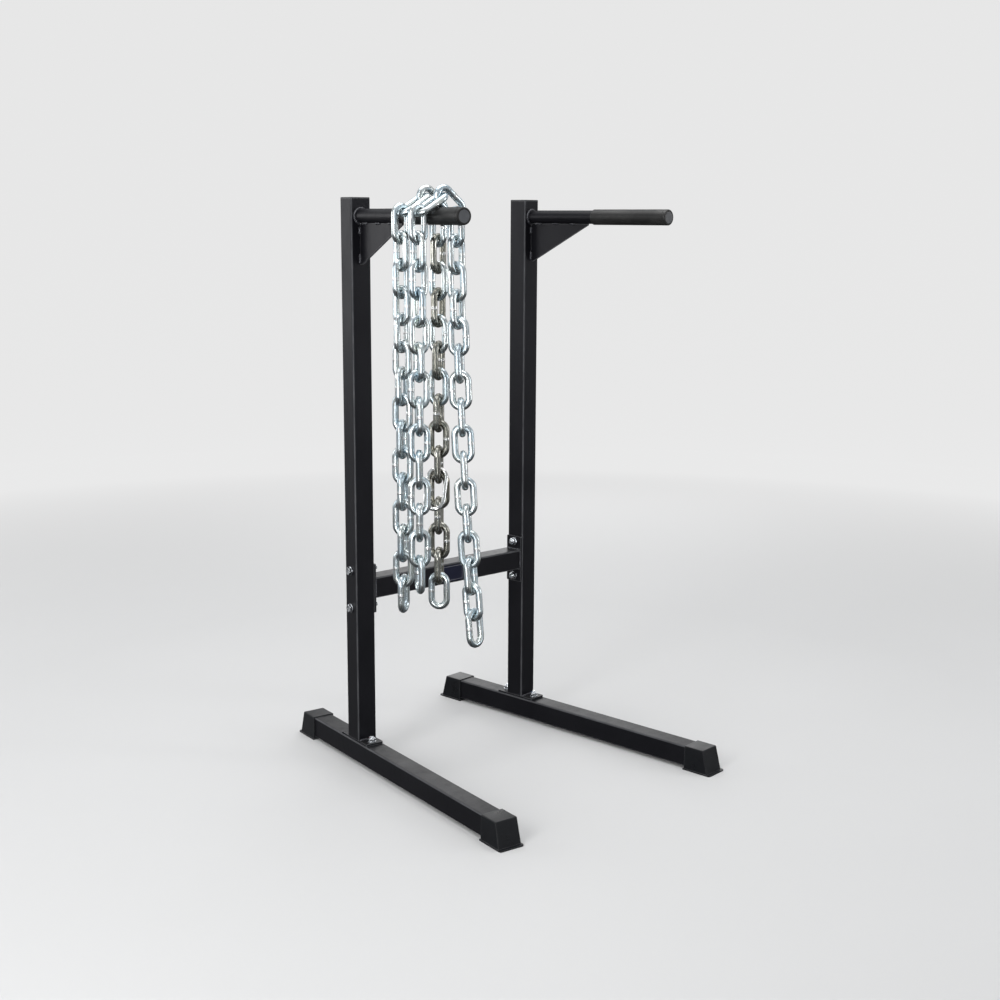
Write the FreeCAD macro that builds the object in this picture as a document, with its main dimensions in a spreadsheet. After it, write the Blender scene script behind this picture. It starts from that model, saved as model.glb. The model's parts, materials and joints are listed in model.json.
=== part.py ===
"""Dip station: two splayed side frames, a bolted crossbar and two lifting chains draped over one bar.

Millimetres, +Z up.  The free ends of the dip bars and the long ends of the feet point towards -Y.
"""

import FreeCAD, Part
import math
import os
import re

import Sketcher

DOC = FreeCAD.newDocument("dip_station")
V = FreeCAD.Vector
LINE = Part.LineSegment

# ---------------------------------------------------------------------------
# Driving dimensions
# ---------------------------------------------------------------------------

DIMENSIONS = [
    # side frames
    ("tube_size", 50.0),
    ("tube_wall", 3.0),
    ("tube_corner", 4.0),
    ("splay_angle", 6.2),
    ("upright_spacing", 515.0),
    ("stand_shift", 3.22),
    ("upright_bottom", 61.7),
    ("upright_top", 1332.3),
    ("plug_thickness", 2.5),
    ("plug_depth", 18.0),
    ("plug_chamfer", 1.2),
    # feet
    ("foot_lift", 6.7),
    ("foot_front", 597.0),
    ("foot_rear", 244.3),
    # slip-over foot caps, measured from the tube end they cover
    ("cap_top_width", 55.7),
    ("cap_low_width", 59.2),
    ("cap_height", 58.7),
    ("cap_top_length", 52.0),
    ("cap_low_length", 66.5),
    ("cap_end_wall", 2.8),
    ("sole_width", 62.3),
    ("sole_length", 77.0),
    ("sole_overhang", 25.0),
    ("sole_thickness", 3.4),
    ("sole_corner", 5.0),
    ("cap_edge", 2.2),
    # plates
    ("plate_length", 118.0),
    ("plate_width", 47.0),
    ("plate_thickness", 5.0),
    ("plate_corner", 3.0),
    ("bolt_spacing", 90.0),
    ("bolt_hole", 10.8),
    # crossbar
    ("crossbar_height", 429.5),
    # dip bars
    ("bar_height", 1293.5),
    ("bar_diameter", 31.8),
    ("bar_wall", 3.0),
    ("bar_end", 436.0),
    ("bar_weld", 4.0),
    ("gusset_thickness", 5.0),
    ("gusset_drop", 108.0),
    ("gusset_reach", 205.0),
    ("gusset_flat", 6.0),
    ("gusset_tip", 19.0),
    ("gusset_cope", 6.0),
    ("grip_diameter", 36.5),
    ("grip_start", 223.0),
    ("grip_end", 442.0),
    ("grip_chamfer", 1.2),
    ("grip_round", 3.6),
    ("grip_ring_offset", 9.0),
    ("grip_ring_width", 1.6),
    ("grip_ring_depth", 0.5),
    # M10 fasteners
    ("bolt_diameter", 10.0),
    ("hex_flats", 17.0),
    ("head_height", 6.4),
    ("nut_height", 8.4),
    ("washer_diameter", 21.0),
    ("washer_thickness", 2.0),
    ("dome_diameter", 20.0),
    ("dome_height", 5.2),
    ("thread_tail", 4.0),
    # chain
    ("wire", 14.5),
    ("link_inside", 57.8),
    ("link_bend", 17.25),
    ("link_bump", 0.45),
    ("link_bump_width", 4.6),
    ("link_gap", 0.8),
    ("hinge_gap", 1.4),
    ("bar_gap", 0.9),
    ("hook_height", 4.8),
    ("rear_station", 269.0),
    ("front_station", 336.0),
    # snap hook clipped into one link
    ("snap_wire", 9.0),
    ("snap_width", 49.0),
    ("snap_length", 100.0),
    ("snap_offset", 4.8),
    ("snap_tilt", 24.0),
    ("snap_roll", 3.0),
    ("gate_wire", 8.0),
    ("gate_pin", 3.0),
    ("gate_pin_height", 13.0),
    ("gate_reach", 33.0),
    ("gate_room", 6.4),
    ("gate_slot", 4.0),
    ("tab_thickness", 3.4),
    ("tab_width", 5.0),
    ("tab_reach", 7.0),
    ("play", 0.3),
]


def make_sheet():
    sheet = DOC.addObject("Spreadsheet::Sheet", "settings")
    for row, (name, value) in enumerate(DIMENSIONS, start=1):
        sheet.set(f"A{row}", name)
        sheet.set(f"B{row}", str(value))
        sheet.setAlias(f"B{row}", name)
    DOC.recompute()
    return sheet


SHEET = make_sheet()
CELLS = {name for name, _ in DIMENSIONS}


def size(name):
    """A driving dimension as a plain number."""
    return float(getattr(SHEET, name))


def bind(owner, prop, expression):
    """Bind a property to an expression in which every bare word is a cell of the sheet."""
    def cell(match):
        word = match.group()
        return "settings." + word if word in CELLS else word

    owner.setExpression(prop, re.sub("[a-z_]+", cell, expression))


# ---------------------------------------------------------------------------
# Where the two sides stand
# ---------------------------------------------------------------------------

SPLAY = math.radians(size("splay_angle"))
FOOT_FRONT_TIP = size("foot_front") + size("sole_overhang")
FOOT_REAR_TIP = size("foot_rear") + size("sole_overhang")
UPRIGHT_Y = (FOOT_FRONT_TIP - FOOT_REAR_TIP) / 2 * math.cos(SPLAY)


def side_placement(side):
    """Left is at -X; each side frame is turned outwards by the splay angle.

    The chains reach further left than the feet do, so the stand is shifted to the right to keep
    the whole object centred on the origin.
    """
    sign = -1 if side == "left" else 1
    base = V(sign * size("upright_spacing") / 2 + size("stand_shift"), UPRIGHT_Y, 0)
    return FreeCAD.Placement(base, FreeCAD.Rotation(V(0, 0, 1), sign * size("splay_angle")))


SIDES = {name: side_placement(name) for name in ("left", "right")}

# ---------------------------------------------------------------------------
# Helpers for bodies and sketches
# ---------------------------------------------------------------------------

NODES = []


def new_body(label, placement=None):
    body = DOC.addObject("PartDesign::Body", label)
    body.Label = label
    if placement is not None:
        body.Placement = placement
    NODES.append(body)
    return body


def new_sketch(body, role, name, **offsets):
    """A sketch on one of the body's origin planes; x, y, z offsets are expressions in its frame."""
    sketch = body.newObject("Sketcher::SketchObject", name)
    plane = next(item for item in body.Origin.OriginFeatures if item.Role == role)
    sketch.AttachmentSupport = [(plane, "")]
    sketch.MapMode = "FlatFace"
    for axis, expression in offsets.items():
        bind(sketch, f"AttachmentOffset.Base.{axis}", expression)
    return sketch


def dimension(sketch, constraint, expression):
    index = sketch.addConstraint(constraint)
    bind(sketch, f"Constraints[{index}]", expression)


def rectangle(sketch, width, height):
    """A rectangle centred on the sketch origin."""
    corners = [V(-10, -10, 0), V(10, -10, 0), V(10, 10, 0), V(-10, 10, 0)]
    lines = [sketch.addGeometry(LINE(corners[i], corners[(i + 1) % 4]), False) for i in range(4)]
    for i in range(4):
        sketch.addConstraint(Sketcher.Constraint("Coincident", lines[i], 2, lines[(i + 1) % 4], 1))
    for i in (0, 2):
        sketch.addConstraint(Sketcher.Constraint("Horizontal", lines[i]))
        sketch.addConstraint(Sketcher.Constraint("Vertical", lines[i + 1]))
    sketch.addConstraint(Sketcher.Constraint("Symmetric", lines[0], 1, lines[1], 2, -1, 1))
    dimension(sketch, Sketcher.Constraint("DistanceX", lines[0], 1, lines[0], 2, 20.0), width)
    dimension(sketch, Sketcher.Constraint("DistanceY", lines[1], 1, lines[1], 2, 20.0), height)


def circle(sketch, diameter):
    """A circle centred on the sketch origin."""
    ring = sketch.addGeometry(Part.Circle(V(0, 0, 0), V(0, 0, 1), 5), False)
    sketch.addConstraint(Sketcher.Constraint("Coincident", ring, 3, -1, 1))
    dimension(sketch, Sketcher.Constraint("Diameter", ring, 10.0), diameter)


def hole_pair(sketch, diameter, spacing):
    """Two holes one above the other, centred on the sketch origin."""
    low = sketch.addGeometry(Part.Circle(V(0, -20, 0), V(0, 0, 1), 5), False)
    high = sketch.addGeometry(Part.Circle(V(0, 20, 0), V(0, 0, 1), 5), False)
    sketch.addConstraint(Sketcher.Constraint("Equal", low, high))
    sketch.addConstraint(Sketcher.Constraint("Symmetric", low, 3, high, 3, -1, 1))
    sketch.addConstraint(Sketcher.Constraint("PointOnObject", high, 3, -2))
    dimension(sketch, Sketcher.Constraint("Diameter", low, 10.0), diameter)
    dimension(sketch, Sketcher.Constraint("DistanceY", low, 3, high, 3, 40.0), spacing)


def outline(sketch, points, start):
    """A closed outline; points are pairs of expressions and start holds their first guesses."""
    count = len(points)
    guess = [V(x, y, 0) for x, y in start]
    lines = [sketch.addGeometry(LINE(guess[i], guess[(i + 1) % count]), False) for i in range(count)]
    for i in range(count):
        sketch.addConstraint(Sketcher.Constraint("Coincident", lines[i], 2, lines[(i + 1) % count], 1))
    for line, (x_size, y_size), point in zip(lines, points, guess):
        if x_size == "0":
            sketch.addConstraint(Sketcher.Constraint("PointOnObject", line, 1, -2))
        else:
            dimension(sketch, Sketcher.Constraint("DistanceX", -1, 1, line, 1, point.x), x_size)
        if y_size == "0":
            sketch.addConstraint(Sketcher.Constraint("PointOnObject", line, 1, -1))
        else:
            dimension(sketch, Sketcher.Constraint("DistanceY", -1, 1, line, 1, point.y), y_size)


def pad(body, sketch, length, both_ways=False, backwards=False):
    feature = body.newObject("PartDesign::Pad", sketch.Name + "_pad")
    feature.Profile = sketch
    bind(feature, "Length", length)
    feature.Midplane = both_ways
    feature.Reversed = backwards
    DOC.recompute()
    return feature


def pocket(body, sketch, length=None, backwards=False):
    """A pocket of the given length, or right through the body both ways."""
    feature = body.newObject("PartDesign::Pocket", sketch.Name + "_pocket")
    feature.Profile = sketch
    if length is None:
        feature.Type = "ThroughAll"
        feature.Midplane = True
    else:
        bind(feature, "Length", length)
        feature.Reversed = backwards
    before = feature.BaseFeature.Shape.Volume
    DOC.recompute()
    if feature.Shape.Volume > before - 1:
        raise RuntimeError(f"{feature.Label} removed nothing")
    return feature


def edges_where(shape, test):
    return [f"Edge{i}" for i, edge in enumerate(shape.Edges, start=1) if test(edge)]


def runs_along(axis):
    """True for straight edges parallel to an axis."""
    def test(edge):
        if edge.Degenerated or not isinstance(edge.Curve, Part.Line):
            return False
        return abs(abs(edge.Curve.Direction.dot(axis)) - 1) < 1e-6
    return test


def dress(body, kind, base, edges, expression):
    """A fillet or chamfer of one size on the named edges of the last feature."""
    feature = body.newObject(f"PartDesign::{kind}", f"{base.Name}_{kind.lower()}")
    feature.Base = (base, edges)
    bind(feature, "Radius" if kind == "Fillet" else "Size", expression)
    DOC.recompute()
    return feature


def square_tube(body, role, axis, length, **offsets):
    """A rounded square tube padded away from one of the origin planes."""
    outside = new_sketch(body, role, "outside", **offsets)
    rectangle(outside, "tube_size", "tube_size")
    block = pad(body, outside, length)
    rounded = dress(body, "Fillet", block, edges_where(block.Shape, runs_along(axis)), "tube_corner")
    inside = new_sketch(body, role, "inside", **offsets)
    rectangle(inside, "tube_size - 2 * tube_wall", "tube_size - 2 * tube_wall")
    pocket(body, inside)
    return rounded


# ---------------------------------------------------------------------------
# Side frames
# ---------------------------------------------------------------------------

def foot_tube(side):
    body = new_body(f"{side}_foot_tube", SIDES[side])
    square_tube(body, "XZ_Plane", V(0, 1, 0), "foot_front + foot_rear",
                y="foot_lift + tube_size / 2", z="-foot_rear")
    holes = new_sketch(body, "XY_Plane", "bolt_holes")
    hole_pair(holes, "bolt_hole", "bolt_spacing")
    pocket(body, holes)


def upright(side):
    body = new_body(f"{side}_upright", SIDES[side])
    square_tube(body, "XY_Plane", V(0, 0, 1), "upright_top - upright_bottom", z="upright_bottom")
    holes = new_sketch(body, "YZ_Plane", "bolt_holes", y="crossbar_height")
    hole_pair(holes, "bolt_hole", "bolt_spacing")
    pocket(body, holes)


def top_plug(side):
    body = new_body(f"{side}_top_plug", SIDES[side])
    lid = new_sketch(body, "XY_Plane", "lid", z="upright_top")
    rectangle(lid, "tube_size", "tube_size")
    lid_pad = pad(body, lid, "plug_thickness")
    upright_edges = edges_where(lid_pad.Shape, runs_along(V(0, 0, 1)))
    rounded = dress(body, "Fillet", lid_pad, upright_edges, "tube_corner")
    top = size("upright_top") + size("plug_thickness")
    rim = edges_where(rounded.Shape, lambda edge: edge.BoundBox.ZMin > top - 0.01)
    dress(body, "Chamfer", rounded, rim, "plug_chamfer")
    stub = new_sketch(body, "XY_Plane", "stub", z="upright_top")
    rectangle(stub, "tube_size - 2 * tube_wall", "tube_size - 2 * tube_wall")
    pad(body, stub, "plug_depth", backwards=True)


def base_plate(side):
    body = new_body(f"{side}_base_plate", SIDES[side])
    face = new_sketch(body, "XY_Plane", "face", z="upright_bottom - plate_thickness")
    rectangle(face, "plate_width", "plate_length")
    block = pad(body, face, "plate_thickness")
    dress(body, "Fillet", block, edges_where(block.Shape, runs_along(V(0, 0, 1))), "plate_corner")
    holes = new_sketch(body, "XY_Plane", "bolt_holes")
    hole_pair(holes, "bolt_hole", "bolt_spacing")
    pocket(body, holes)


def foot_cap(side, end):
    """A slip-over cap: walls flare towards a wider sole, and a square socket takes the tube end."""
    placement = SIDES[side]
    if end == "rear":
        placement = placement * FreeCAD.Placement(V(0, 0, 0), FreeCAD.Rotation(V(0, 0, 1), 180))
    body = new_body(f"{side}_{end}_foot_cap", placement)
    reach = f"foot_{end}"
    top_end = f"{reach} + cap_end_wall"
    walls = body.newObject("PartDesign::AdditiveWedge", "walls")
    plane = next(item for item in body.Origin.OriginFeatures if item.Role == "XY_Plane")
    walls.AttachmentSupport = [(plane, "")]
    walls.MapMode = "FlatFace"
    walls.AttachmentOffset.Rotation = FreeCAD.Rotation(V(1, 0, 0), 90)
    for prop, expression in (("Xmin", "-cap_low_width / 2"), ("Xmax", "cap_low_width / 2"),
                             ("X2min", "-cap_top_width / 2"), ("X2max", "cap_top_width / 2"),
                             ("Ymin", "0"), ("Ymax", "cap_height"),
                             ("Zmin", f"{top_end} - cap_top_length"), ("Z2min", f"{top_end} - cap_top_length"),
                             ("Zmax", f"{top_end} + cap_low_length - cap_top_length"), ("Z2max", top_end)):
        bind(walls, prop, expression)
    DOC.recompute()
    open_y = -(size(reach) + size("cap_end_wall") - size("cap_top_length"))
    shown = edges_where(walls.Shape, lambda edge: edge.BoundBox.ZMax > 1 and edge.BoundBox.YMin < open_y - 1)
    dress(body, "Fillet", walls, shown, "cap_edge")
    sole = new_sketch(body, "XY_Plane", "sole", y=f"-({reach} + sole_overhang - sole_length / 2)")
    rectangle(sole, "sole_width", "sole_length")
    flange = pad(body, sole, "sole_thickness")
    corner_y = -(size(reach) + size("sole_overhang"))
    corners = edges_where(flange.Shape, lambda edge: runs_along(V(0, 0, 1))(edge)
                          and edge.BoundBox.YMin < corner_y + 1)
    dress(body, "Fillet", flange, corners, "sole_corner")
    socket = new_sketch(body, "XZ_Plane", "socket", y="foot_lift + tube_size / 2", z=reach)
    rectangle(socket, "tube_size", "tube_size")
    pocket(body, socket, "sole_length + 10")


def dip_bar(side):
    body = new_body(f"{side}_dip_bar", SIDES[side])
    outside = new_sketch(body, "XZ_Plane", "outside", y="bar_height", z="tube_size / 2")
    circle(outside, "bar_diameter")
    pad(body, outside, "bar_end - tube_size / 2")
    inside = new_sketch(body, "XZ_Plane", "inside", y="bar_height", z="tube_size / 2")
    circle(inside, "bar_diameter - 2 * bar_wall")
    pocket(body, inside)


def gusset(side):
    """A triangular web under the bar: short flats at its thin corners, a cope clear of the bar's weld."""
    body = new_body(f"{side}_gusset", SIDES[side])
    web = new_sketch(body, "YZ_Plane", "web", x="-tube_size / 2", y="bar_height - gusset_drop")
    web.AttachmentOffset.Rotation = FreeCAD.Rotation(V(0, 1, 0), 180)
    top = "gusset_drop - bar_diameter / 2"
    points = [("0", "0"), ("gusset_flat", "0"), ("gusset_reach - tube_size / 2", "gusset_drop - gusset_tip"),
              ("gusset_reach - tube_size / 2", top), ("gusset_cope", top), ("0", f"{top} - gusset_cope")]
    outline(web, points, [(0, 0), (6, 0), (180, 89), (180, 92), (6, 92), (0, 86)])
    pad(body, web, "gusset_thickness", both_ways=True)


def grip(side):
    """A rubber sleeve with a closed, rounded end and a shallow ring close to it."""
    body = new_body(f"{side}_grip", SIDES[side])
    outside = new_sketch(body, "XZ_Plane", "outside", y="bar_height", z="grip_start")
    circle(outside, "grip_diameter")
    block = pad(body, outside, "grip_end - grip_start")
    tip_y = -size("grip_end")
    tip = edges_where(block.Shape, lambda edge: edge.BoundBox.YMax < tip_y + 0.01)
    rounded = dress(body, "Fillet", block, tip, "grip_round")
    mouth_y = -size("grip_start")
    mouth = edges_where(rounded.Shape, lambda edge: edge.BoundBox.YMin > mouth_y - 0.01)
    dress(body, "Chamfer", rounded, mouth, "grip_chamfer")
    inside = new_sketch(body, "XZ_Plane", "inside", y="bar_height", z="grip_start")
    circle(inside, "bar_diameter")
    pocket(body, inside, "bar_end - grip_start", backwards=True)
    ring = new_sketch(body, "YZ_Plane", "ring", x="-(grip_end - grip_ring_offset)", y="bar_height")
    low = "grip_diameter / 2 - grip_ring_depth"
    high = "grip_diameter / 2 + 1"
    outline(ring, [("0", low), ("grip_ring_width", low), ("grip_ring_width", high), ("0", high)],
            [(0, 18), (1.6, 18), (1.6, 19), (0, 19)])
    groove = body.newObject("PartDesign::Groove", "ring_groove")
    groove.Profile = ring
    groove.ReferenceAxis = (ring, ["H_Axis"])
    groove.Angle = 360
    DOC.recompute()


def bar_weld(side):
    """The weld fillet that runs round the bar where it meets the upright."""
    placement = SIDES[side] * FreeCAD.Placement(V(0, -size("tube_size") / 2, size("bar_height")),
                                                FreeCAD.Rotation(V(1, 0, 0), 90))
    cone = DOC.addObject("Part::Cone", f"{side}_weld_cone")
    bind(cone, "Radius1", "bar_diameter / 2 + bar_weld")
    bind(cone, "Radius2", "bar_diameter / 2 + 0.4")
    bind(cone, "Height", "bar_weld")
    core = DOC.addObject("Part::Cylinder", f"{side}_weld_core")
    bind(core, "Radius", "bar_diameter / 2")
    bind(core, "Height", "bar_weld")
    weld = DOC.addObject("Part::Cut", f"{side}_bar_weld")
    weld.Base = cone
    weld.Tool = core
    weld.Label = f"{side}_bar_weld"
    weld.Placement = placement
    NODES.append(weld)


# ---------------------------------------------------------------------------
# Crossbar
# ---------------------------------------------------------------------------

def crossbar_plate(side):
    body = new_body(f"{side}_crossbar_plate", SIDES[side])
    inward = "tube_size / 2" if side == "left" else "-(tube_size / 2 + plate_thickness)"
    face = new_sketch(body, "YZ_Plane", "face", y="crossbar_height", z=inward)
    rectangle(face, "plate_width", "plate_length")
    block = pad(body, face, "plate_thickness")
    dress(body, "Fillet", block, edges_where(block.Shape, runs_along(V(1, 0, 0))), "plate_corner")
    holes = new_sketch(body, "YZ_Plane", "bolt_holes", y="crossbar_height")
    hole_pair(holes, "bolt_hole", "bolt_spacing")
    pocket(body, holes)


def crossbar():
    """A square tube whose ends are cut to the splay, so it is longer along its front face."""
    placement = FreeCAD.Placement(V(size("stand_shift"), UPRIGHT_Y, 0), FreeCAD.Rotation())
    body = new_body("crossbar", placement)
    plan = new_sketch(body, "XY_Plane", "plan", z="crossbar_height - tube_size / 2")
    middle = "upright_spacing - (tube_size + 2 * plate_thickness) / cos(splay_angle)"
    front = f"{middle} + tube_size * tan(splay_angle)"
    back = f"{middle} - tube_size * tan(splay_angle)"
    corners = [V(-220, -25, 0), V(220, -25, 0), V(215, 25, 0), V(-215, 25, 0)]
    lines = [plan.addGeometry(LINE(corners[i], corners[(i + 1) % 4]), False) for i in range(4)]
    for i in range(4):
        plan.addConstraint(Sketcher.Constraint("Coincident", lines[i], 2, lines[(i + 1) % 4], 1))
    plan.addConstraint(Sketcher.Constraint("Symmetric", lines[0], 1, lines[0], 2, -2))
    plan.addConstraint(Sketcher.Constraint("Symmetric", lines[2], 1, lines[2], 2, -2))
    dimension(plan, Sketcher.Constraint("DistanceX", lines[0], 1, lines[0], 2, 440.0), front)
    dimension(plan, Sketcher.Constraint("DistanceX", lines[2], 2, lines[2], 1, 430.0), back)
    dimension(plan, Sketcher.Constraint("DistanceY", lines[0], 1, -1, 1, 25.0), "tube_size / 2")
    dimension(plan, Sketcher.Constraint("DistanceY", -1, 1, lines[2], 1, 25.0), "tube_size / 2")
    block = pad(body, plan, "tube_size")
    dress(body, "Fillet", block, edges_where(block.Shape, runs_along(V(1, 0, 0))), "tube_corner")
    inside = new_sketch(body, "YZ_Plane", "inside", y="crossbar_height")
    rectangle(inside, "tube_size - 2 * tube_wall", "tube_size - 2 * tube_wall")
    pocket(body, inside)


# ---------------------------------------------------------------------------
# Fasteners: one node holds every copy of a kind
# ---------------------------------------------------------------------------

def cylinder(name, diameter, length):
    shape = DOC.addObject("Part::Cylinder", name)
    bind(shape, "Radius", f"({diameter}) / 2")
    bind(shape, "Height", length)
    return shape


def hexagon(name, height):
    shape = DOC.addObject("Part::Prism", name)
    shape.Polygon = 6
    bind(shape, "Circumradius", "hex_flats / sqrt(3)")
    bind(shape, "Height", height)
    return shape


def boolean(kind, name, base, tool):
    result = DOC.addObject(f"Part::{kind}", name)
    result.Base = base
    result.Tool = tool
    return result


def carriage_bolt():
    """Shank up the +Z axis from the seat of a shallow domed head."""
    grip_length = "tube_size + plate_thickness + washer_thickness + nut_height + thread_tail"
    shank = cylinder("carriage_shank", "bolt_diameter", grip_length)
    ball = DOC.addObject("Part::Sphere", "carriage_ball")
    radius = "((dome_diameter / 2) ^ 2 + dome_height ^ 2) / (2 * dome_height)"
    bind(ball, "Radius", radius)
    bind(ball, "Placement.Base.z", f"{radius} - dome_height")
    slab = cylinder("carriage_slab", "dome_diameter + 2", "dome_height")
    bind(slab, "Placement.Base.z", "-dome_height")
    head = boolean("Common", "carriage_head", ball, slab)
    return boolean("Fuse", "carriage_bolt", head, shank)


def hex_bolt():
    """Shank up the +Z axis from the seat of a hexagon head with a chamfered top."""
    grip_length = "tube_size + plate_thickness + 2 * washer_thickness + nut_height + thread_tail"
    shank = cylinder("hex_shank", "bolt_diameter", grip_length)
    block = hexagon("hex_block", "head_height")
    bind(block, "Placement.Base.z", "-head_height")
    cone = DOC.addObject("Part::Cone", "hex_cone")
    bind(cone, "Radius1", "hex_flats / 2")
    bind(cone, "Radius2", "hex_flats / 2 + 2 * head_height")
    bind(cone, "Height", "head_height")
    bind(cone, "Placement.Base.z", "-head_height")
    head = boolean("Common", "hex_head", block, cone)
    return boolean("Fuse", "hex_bolt", head, shank)


def hex_nut():
    block = hexagon("nut_block", "nut_height")
    cone = DOC.addObject("Part::Cone", "nut_cone")
    bind(cone, "Radius1", "hex_flats / 2 + 2 * nut_height")
    bind(cone, "Radius2", "hex_flats / 2")
    bind(cone, "Height", "nut_height")
    trimmed = boolean("Common", "nut_trimmed", block, cone)
    bore = cylinder("nut_bore", "bolt_diameter", "nut_height")
    return boolean("Cut", "hex_nut", trimmed, bore)


def washer():
    disc = cylinder("washer_disc", "washer_diameter", "washer_thickness")
    bore = cylinder("washer_bore", "bolt_hole", "washer_thickness")
    return boolean("Cut", "washer", disc, bore)


def group_node(label, shape, placements):
    """One node of separate solids: the same shape at each placement."""
    node = DOC.addObject("Part::Feature", label)
    node.Label = label
    node.Shape = Part.makeCompound([shape.transformed(place.toMatrix()) for place in placements])
    NODES.append(node)


def base_places(height):
    """Places on the two bolt axes of each base plate, +Z up."""
    offsets = (-size("bolt_spacing") / 2, size("bolt_spacing") / 2)
    return [SIDES[side] * FreeCAD.Placement(V(0, y, height), FreeCAD.Rotation())
            for side in SIDES for y in offsets]


def crossbar_places(distance):
    """Places on the crossbar bolt axes: +Z points inwards, distance is from the upright's axis."""
    places = []
    for side, sign in (("left", 1), ("right", -1)):
        for drop in (-1, 1):
            point = V(sign * distance, 0, size("crossbar_height") + drop * size("bolt_spacing") / 2)
            turn = FreeCAD.Rotation(V(0, 0, 1), V(sign, 0, 0))
            places.append(SIDES[side] * FreeCAD.Placement(point, turn))
    return places


def fasteners():
    masters = {"carriage": carriage_bolt(), "hex": hex_bolt(), "nut": hex_nut(), "washer": washer()}
    DOC.recompute()
    shapes = {name: item.Shape for name, item in masters.items()}
    washer_height = size("washer_thickness")
    half = size("tube_size") / 2
    inner = half + size("plate_thickness")
    group_node("base_bolts", shapes["carriage"], base_places(size("foot_lift")))
    group_node("base_washers", shapes["washer"], base_places(size("upright_bottom")))
    group_node("base_nuts", shapes["nut"], base_places(size("upright_bottom") + washer_height))
    group_node("crossbar_bolts", shapes["hex"], crossbar_places(-half - washer_height))
    outer_and_inner = crossbar_places(-half - washer_height) + crossbar_places(inner)
    group_node("crossbar_washers", shapes["washer"], outer_and_inner)
    group_node("crossbar_nuts", shapes["nut"], crossbar_places(inner + washer_height))


# ---------------------------------------------------------------------------
# Lifting chains
# ---------------------------------------------------------------------------

def leg(name, diameter, across, low, high):
    """A straight run of wire parallel to Z."""
    shape = cylinder(name, diameter, f"({high}) - ({low})")
    bind(shape, "Placement.Base.x", across)
    bind(shape, "Placement.Base.z", low)
    return shape


def half_ring(name, radius, diameter, sign, height):
    """A half turn of wire that closes the top (sign 1) or the bottom (sign -1) of a loop."""
    bend = DOC.addObject("Part::Torus", name)
    bind(bend, "Radius1", radius)
    bind(bend, "Radius2", f"({diameter}) / 2")
    bend.Angle3 = 180
    bend.Placement.Rotation = FreeCAD.Rotation(V(1, 0, 0), sign * 90)
    bind(bend, "Placement.Base.z", f"{sign} * ({height})")
    return bend


def bevelled(shape, name, bevel):
    """A cylinder with both of its rims chamfered."""
    DOC.recompute()
    rims = [i for i, edge in enumerate(shape.Shape.Edges, start=1) if isinstance(edge.Curve, Part.Circle)]
    result = DOC.addObject("Part::Chamfer", name)
    result.Base = shape
    result.Edges = [(i, bevel, bevel) for i in rims]
    return result


def link_shape():
    """One link: long axis Z, width X, with a weld bump round the middle of the leg at +X."""
    half = "(link_inside + wire - 2 * link_bend) / 2"
    pieces = [leg("link_leg_low", "wire", "-link_bend", f"-{half}", half),
              leg("link_leg_high", "wire", "link_bend", f"-{half}", half),
              half_ring("link_bend_low", "link_bend", "wire", -1, half),
              half_ring("link_bend_high", "link_bend", "wire", 1, half)]
    band = leg("weld_band", "wire + 2 * link_bump", "link_bend", "-link_bump_width / 2", "link_bump_width / 2")
    pieces.append(bevelled(band, "weld_band_soft", size("link_bump") * 0.9))
    link = DOC.addObject("Part::MultiFuse", "link")
    link.Shapes = pieces
    DOC.recompute()
    return link.Shape


def bar_point(station, across, up):
    """A point near the left bar: distance along it from the upright, inward, and above its axis."""
    return V(across, -station, size("bar_height") + up)


def link_place(middle, along, width):
    """Place a link by its middle, its long axis and the direction of its width."""
    turn = FreeCAD.Rotation(width, V(0, 0, 0), along, "ZXY")
    return SIDES["left"] * FreeCAD.Placement(middle, turn)


def facing(angle):
    """Horizontal direction: 0 is along the bar, 90 degrees is inward across it."""
    turn = math.radians(angle)
    return V(math.sin(turn), -math.cos(turn), 0)


def drape():
    """Where the two links over the bar sit, in the plane square to it: (across, up) from its axis.

    The saddle link lies flat against the bar and its outer end holds the outer strand.  The arch
    link stands square to the bar on its inner side and holds the inner strand.
    """
    radius = size("grip_diameter") / 2
    wire = size("wire")
    bend = size("link_bend")
    reach = size("link_inside") + wire
    hook = wire + size("link_gap")
    flat = radius + wire / 2 + size("bar_gap")
    standing = flat + bend
    outer = (-standing, size("hook_height"))
    slope = math.asin(flat / math.hypot(*outer)) - math.atan2(outer[1], -outer[0])
    inner = (outer[0] + reach * math.cos(slope), outer[1] + reach * math.sin(slope))
    fall = math.atan2(-inner[1], -inner[0]) + math.asin(standing / math.hypot(*inner))
    step = (math.cos(fall), math.sin(fall))
    arch_top = (inner[0] - hook * step[0], inner[1] - hook * step[1])
    low_bend = (arch_top[0] + (reach - bend) * step[0], arch_top[1] + (reach - bend) * step[1])
    inner_hook = (low_bend[0], low_bend[1] - (bend - hook))
    return {"outer": outer, "inner": inner, "slope": slope, "fall": fall, "arch_top": arch_top,
            "inner_hook": inner_hook, "reach": reach, "hook": hook}


DRAPE = drape()


def over_bar_links(name, station, link):
    """The saddle link and the arch link of one chain."""
    outer, inner = DRAPE["outer"], DRAPE["inner"]
    middle = bar_point(station, (outer[0] + inner[0]) / 2, (outer[1] + inner[1]) / 2)
    along = V(math.cos(DRAPE["slope"]), 0, math.sin(DRAPE["slope"]))
    group_node(f"{name}_saddle_link", link, [link_place(middle, along, facing(0))])
    top = DRAPE["arch_top"]
    along = V(math.cos(DRAPE["fall"]), 0, math.sin(DRAPE["fall"]))
    middle = bar_point(station, top[0], top[1]) + along * (DRAPE["reach"] / 2)
    outward = V(-along.z, 0, along.x)
    group_node(f"{name}_arch_link", link, [link_place(middle, along, outward)])


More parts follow.
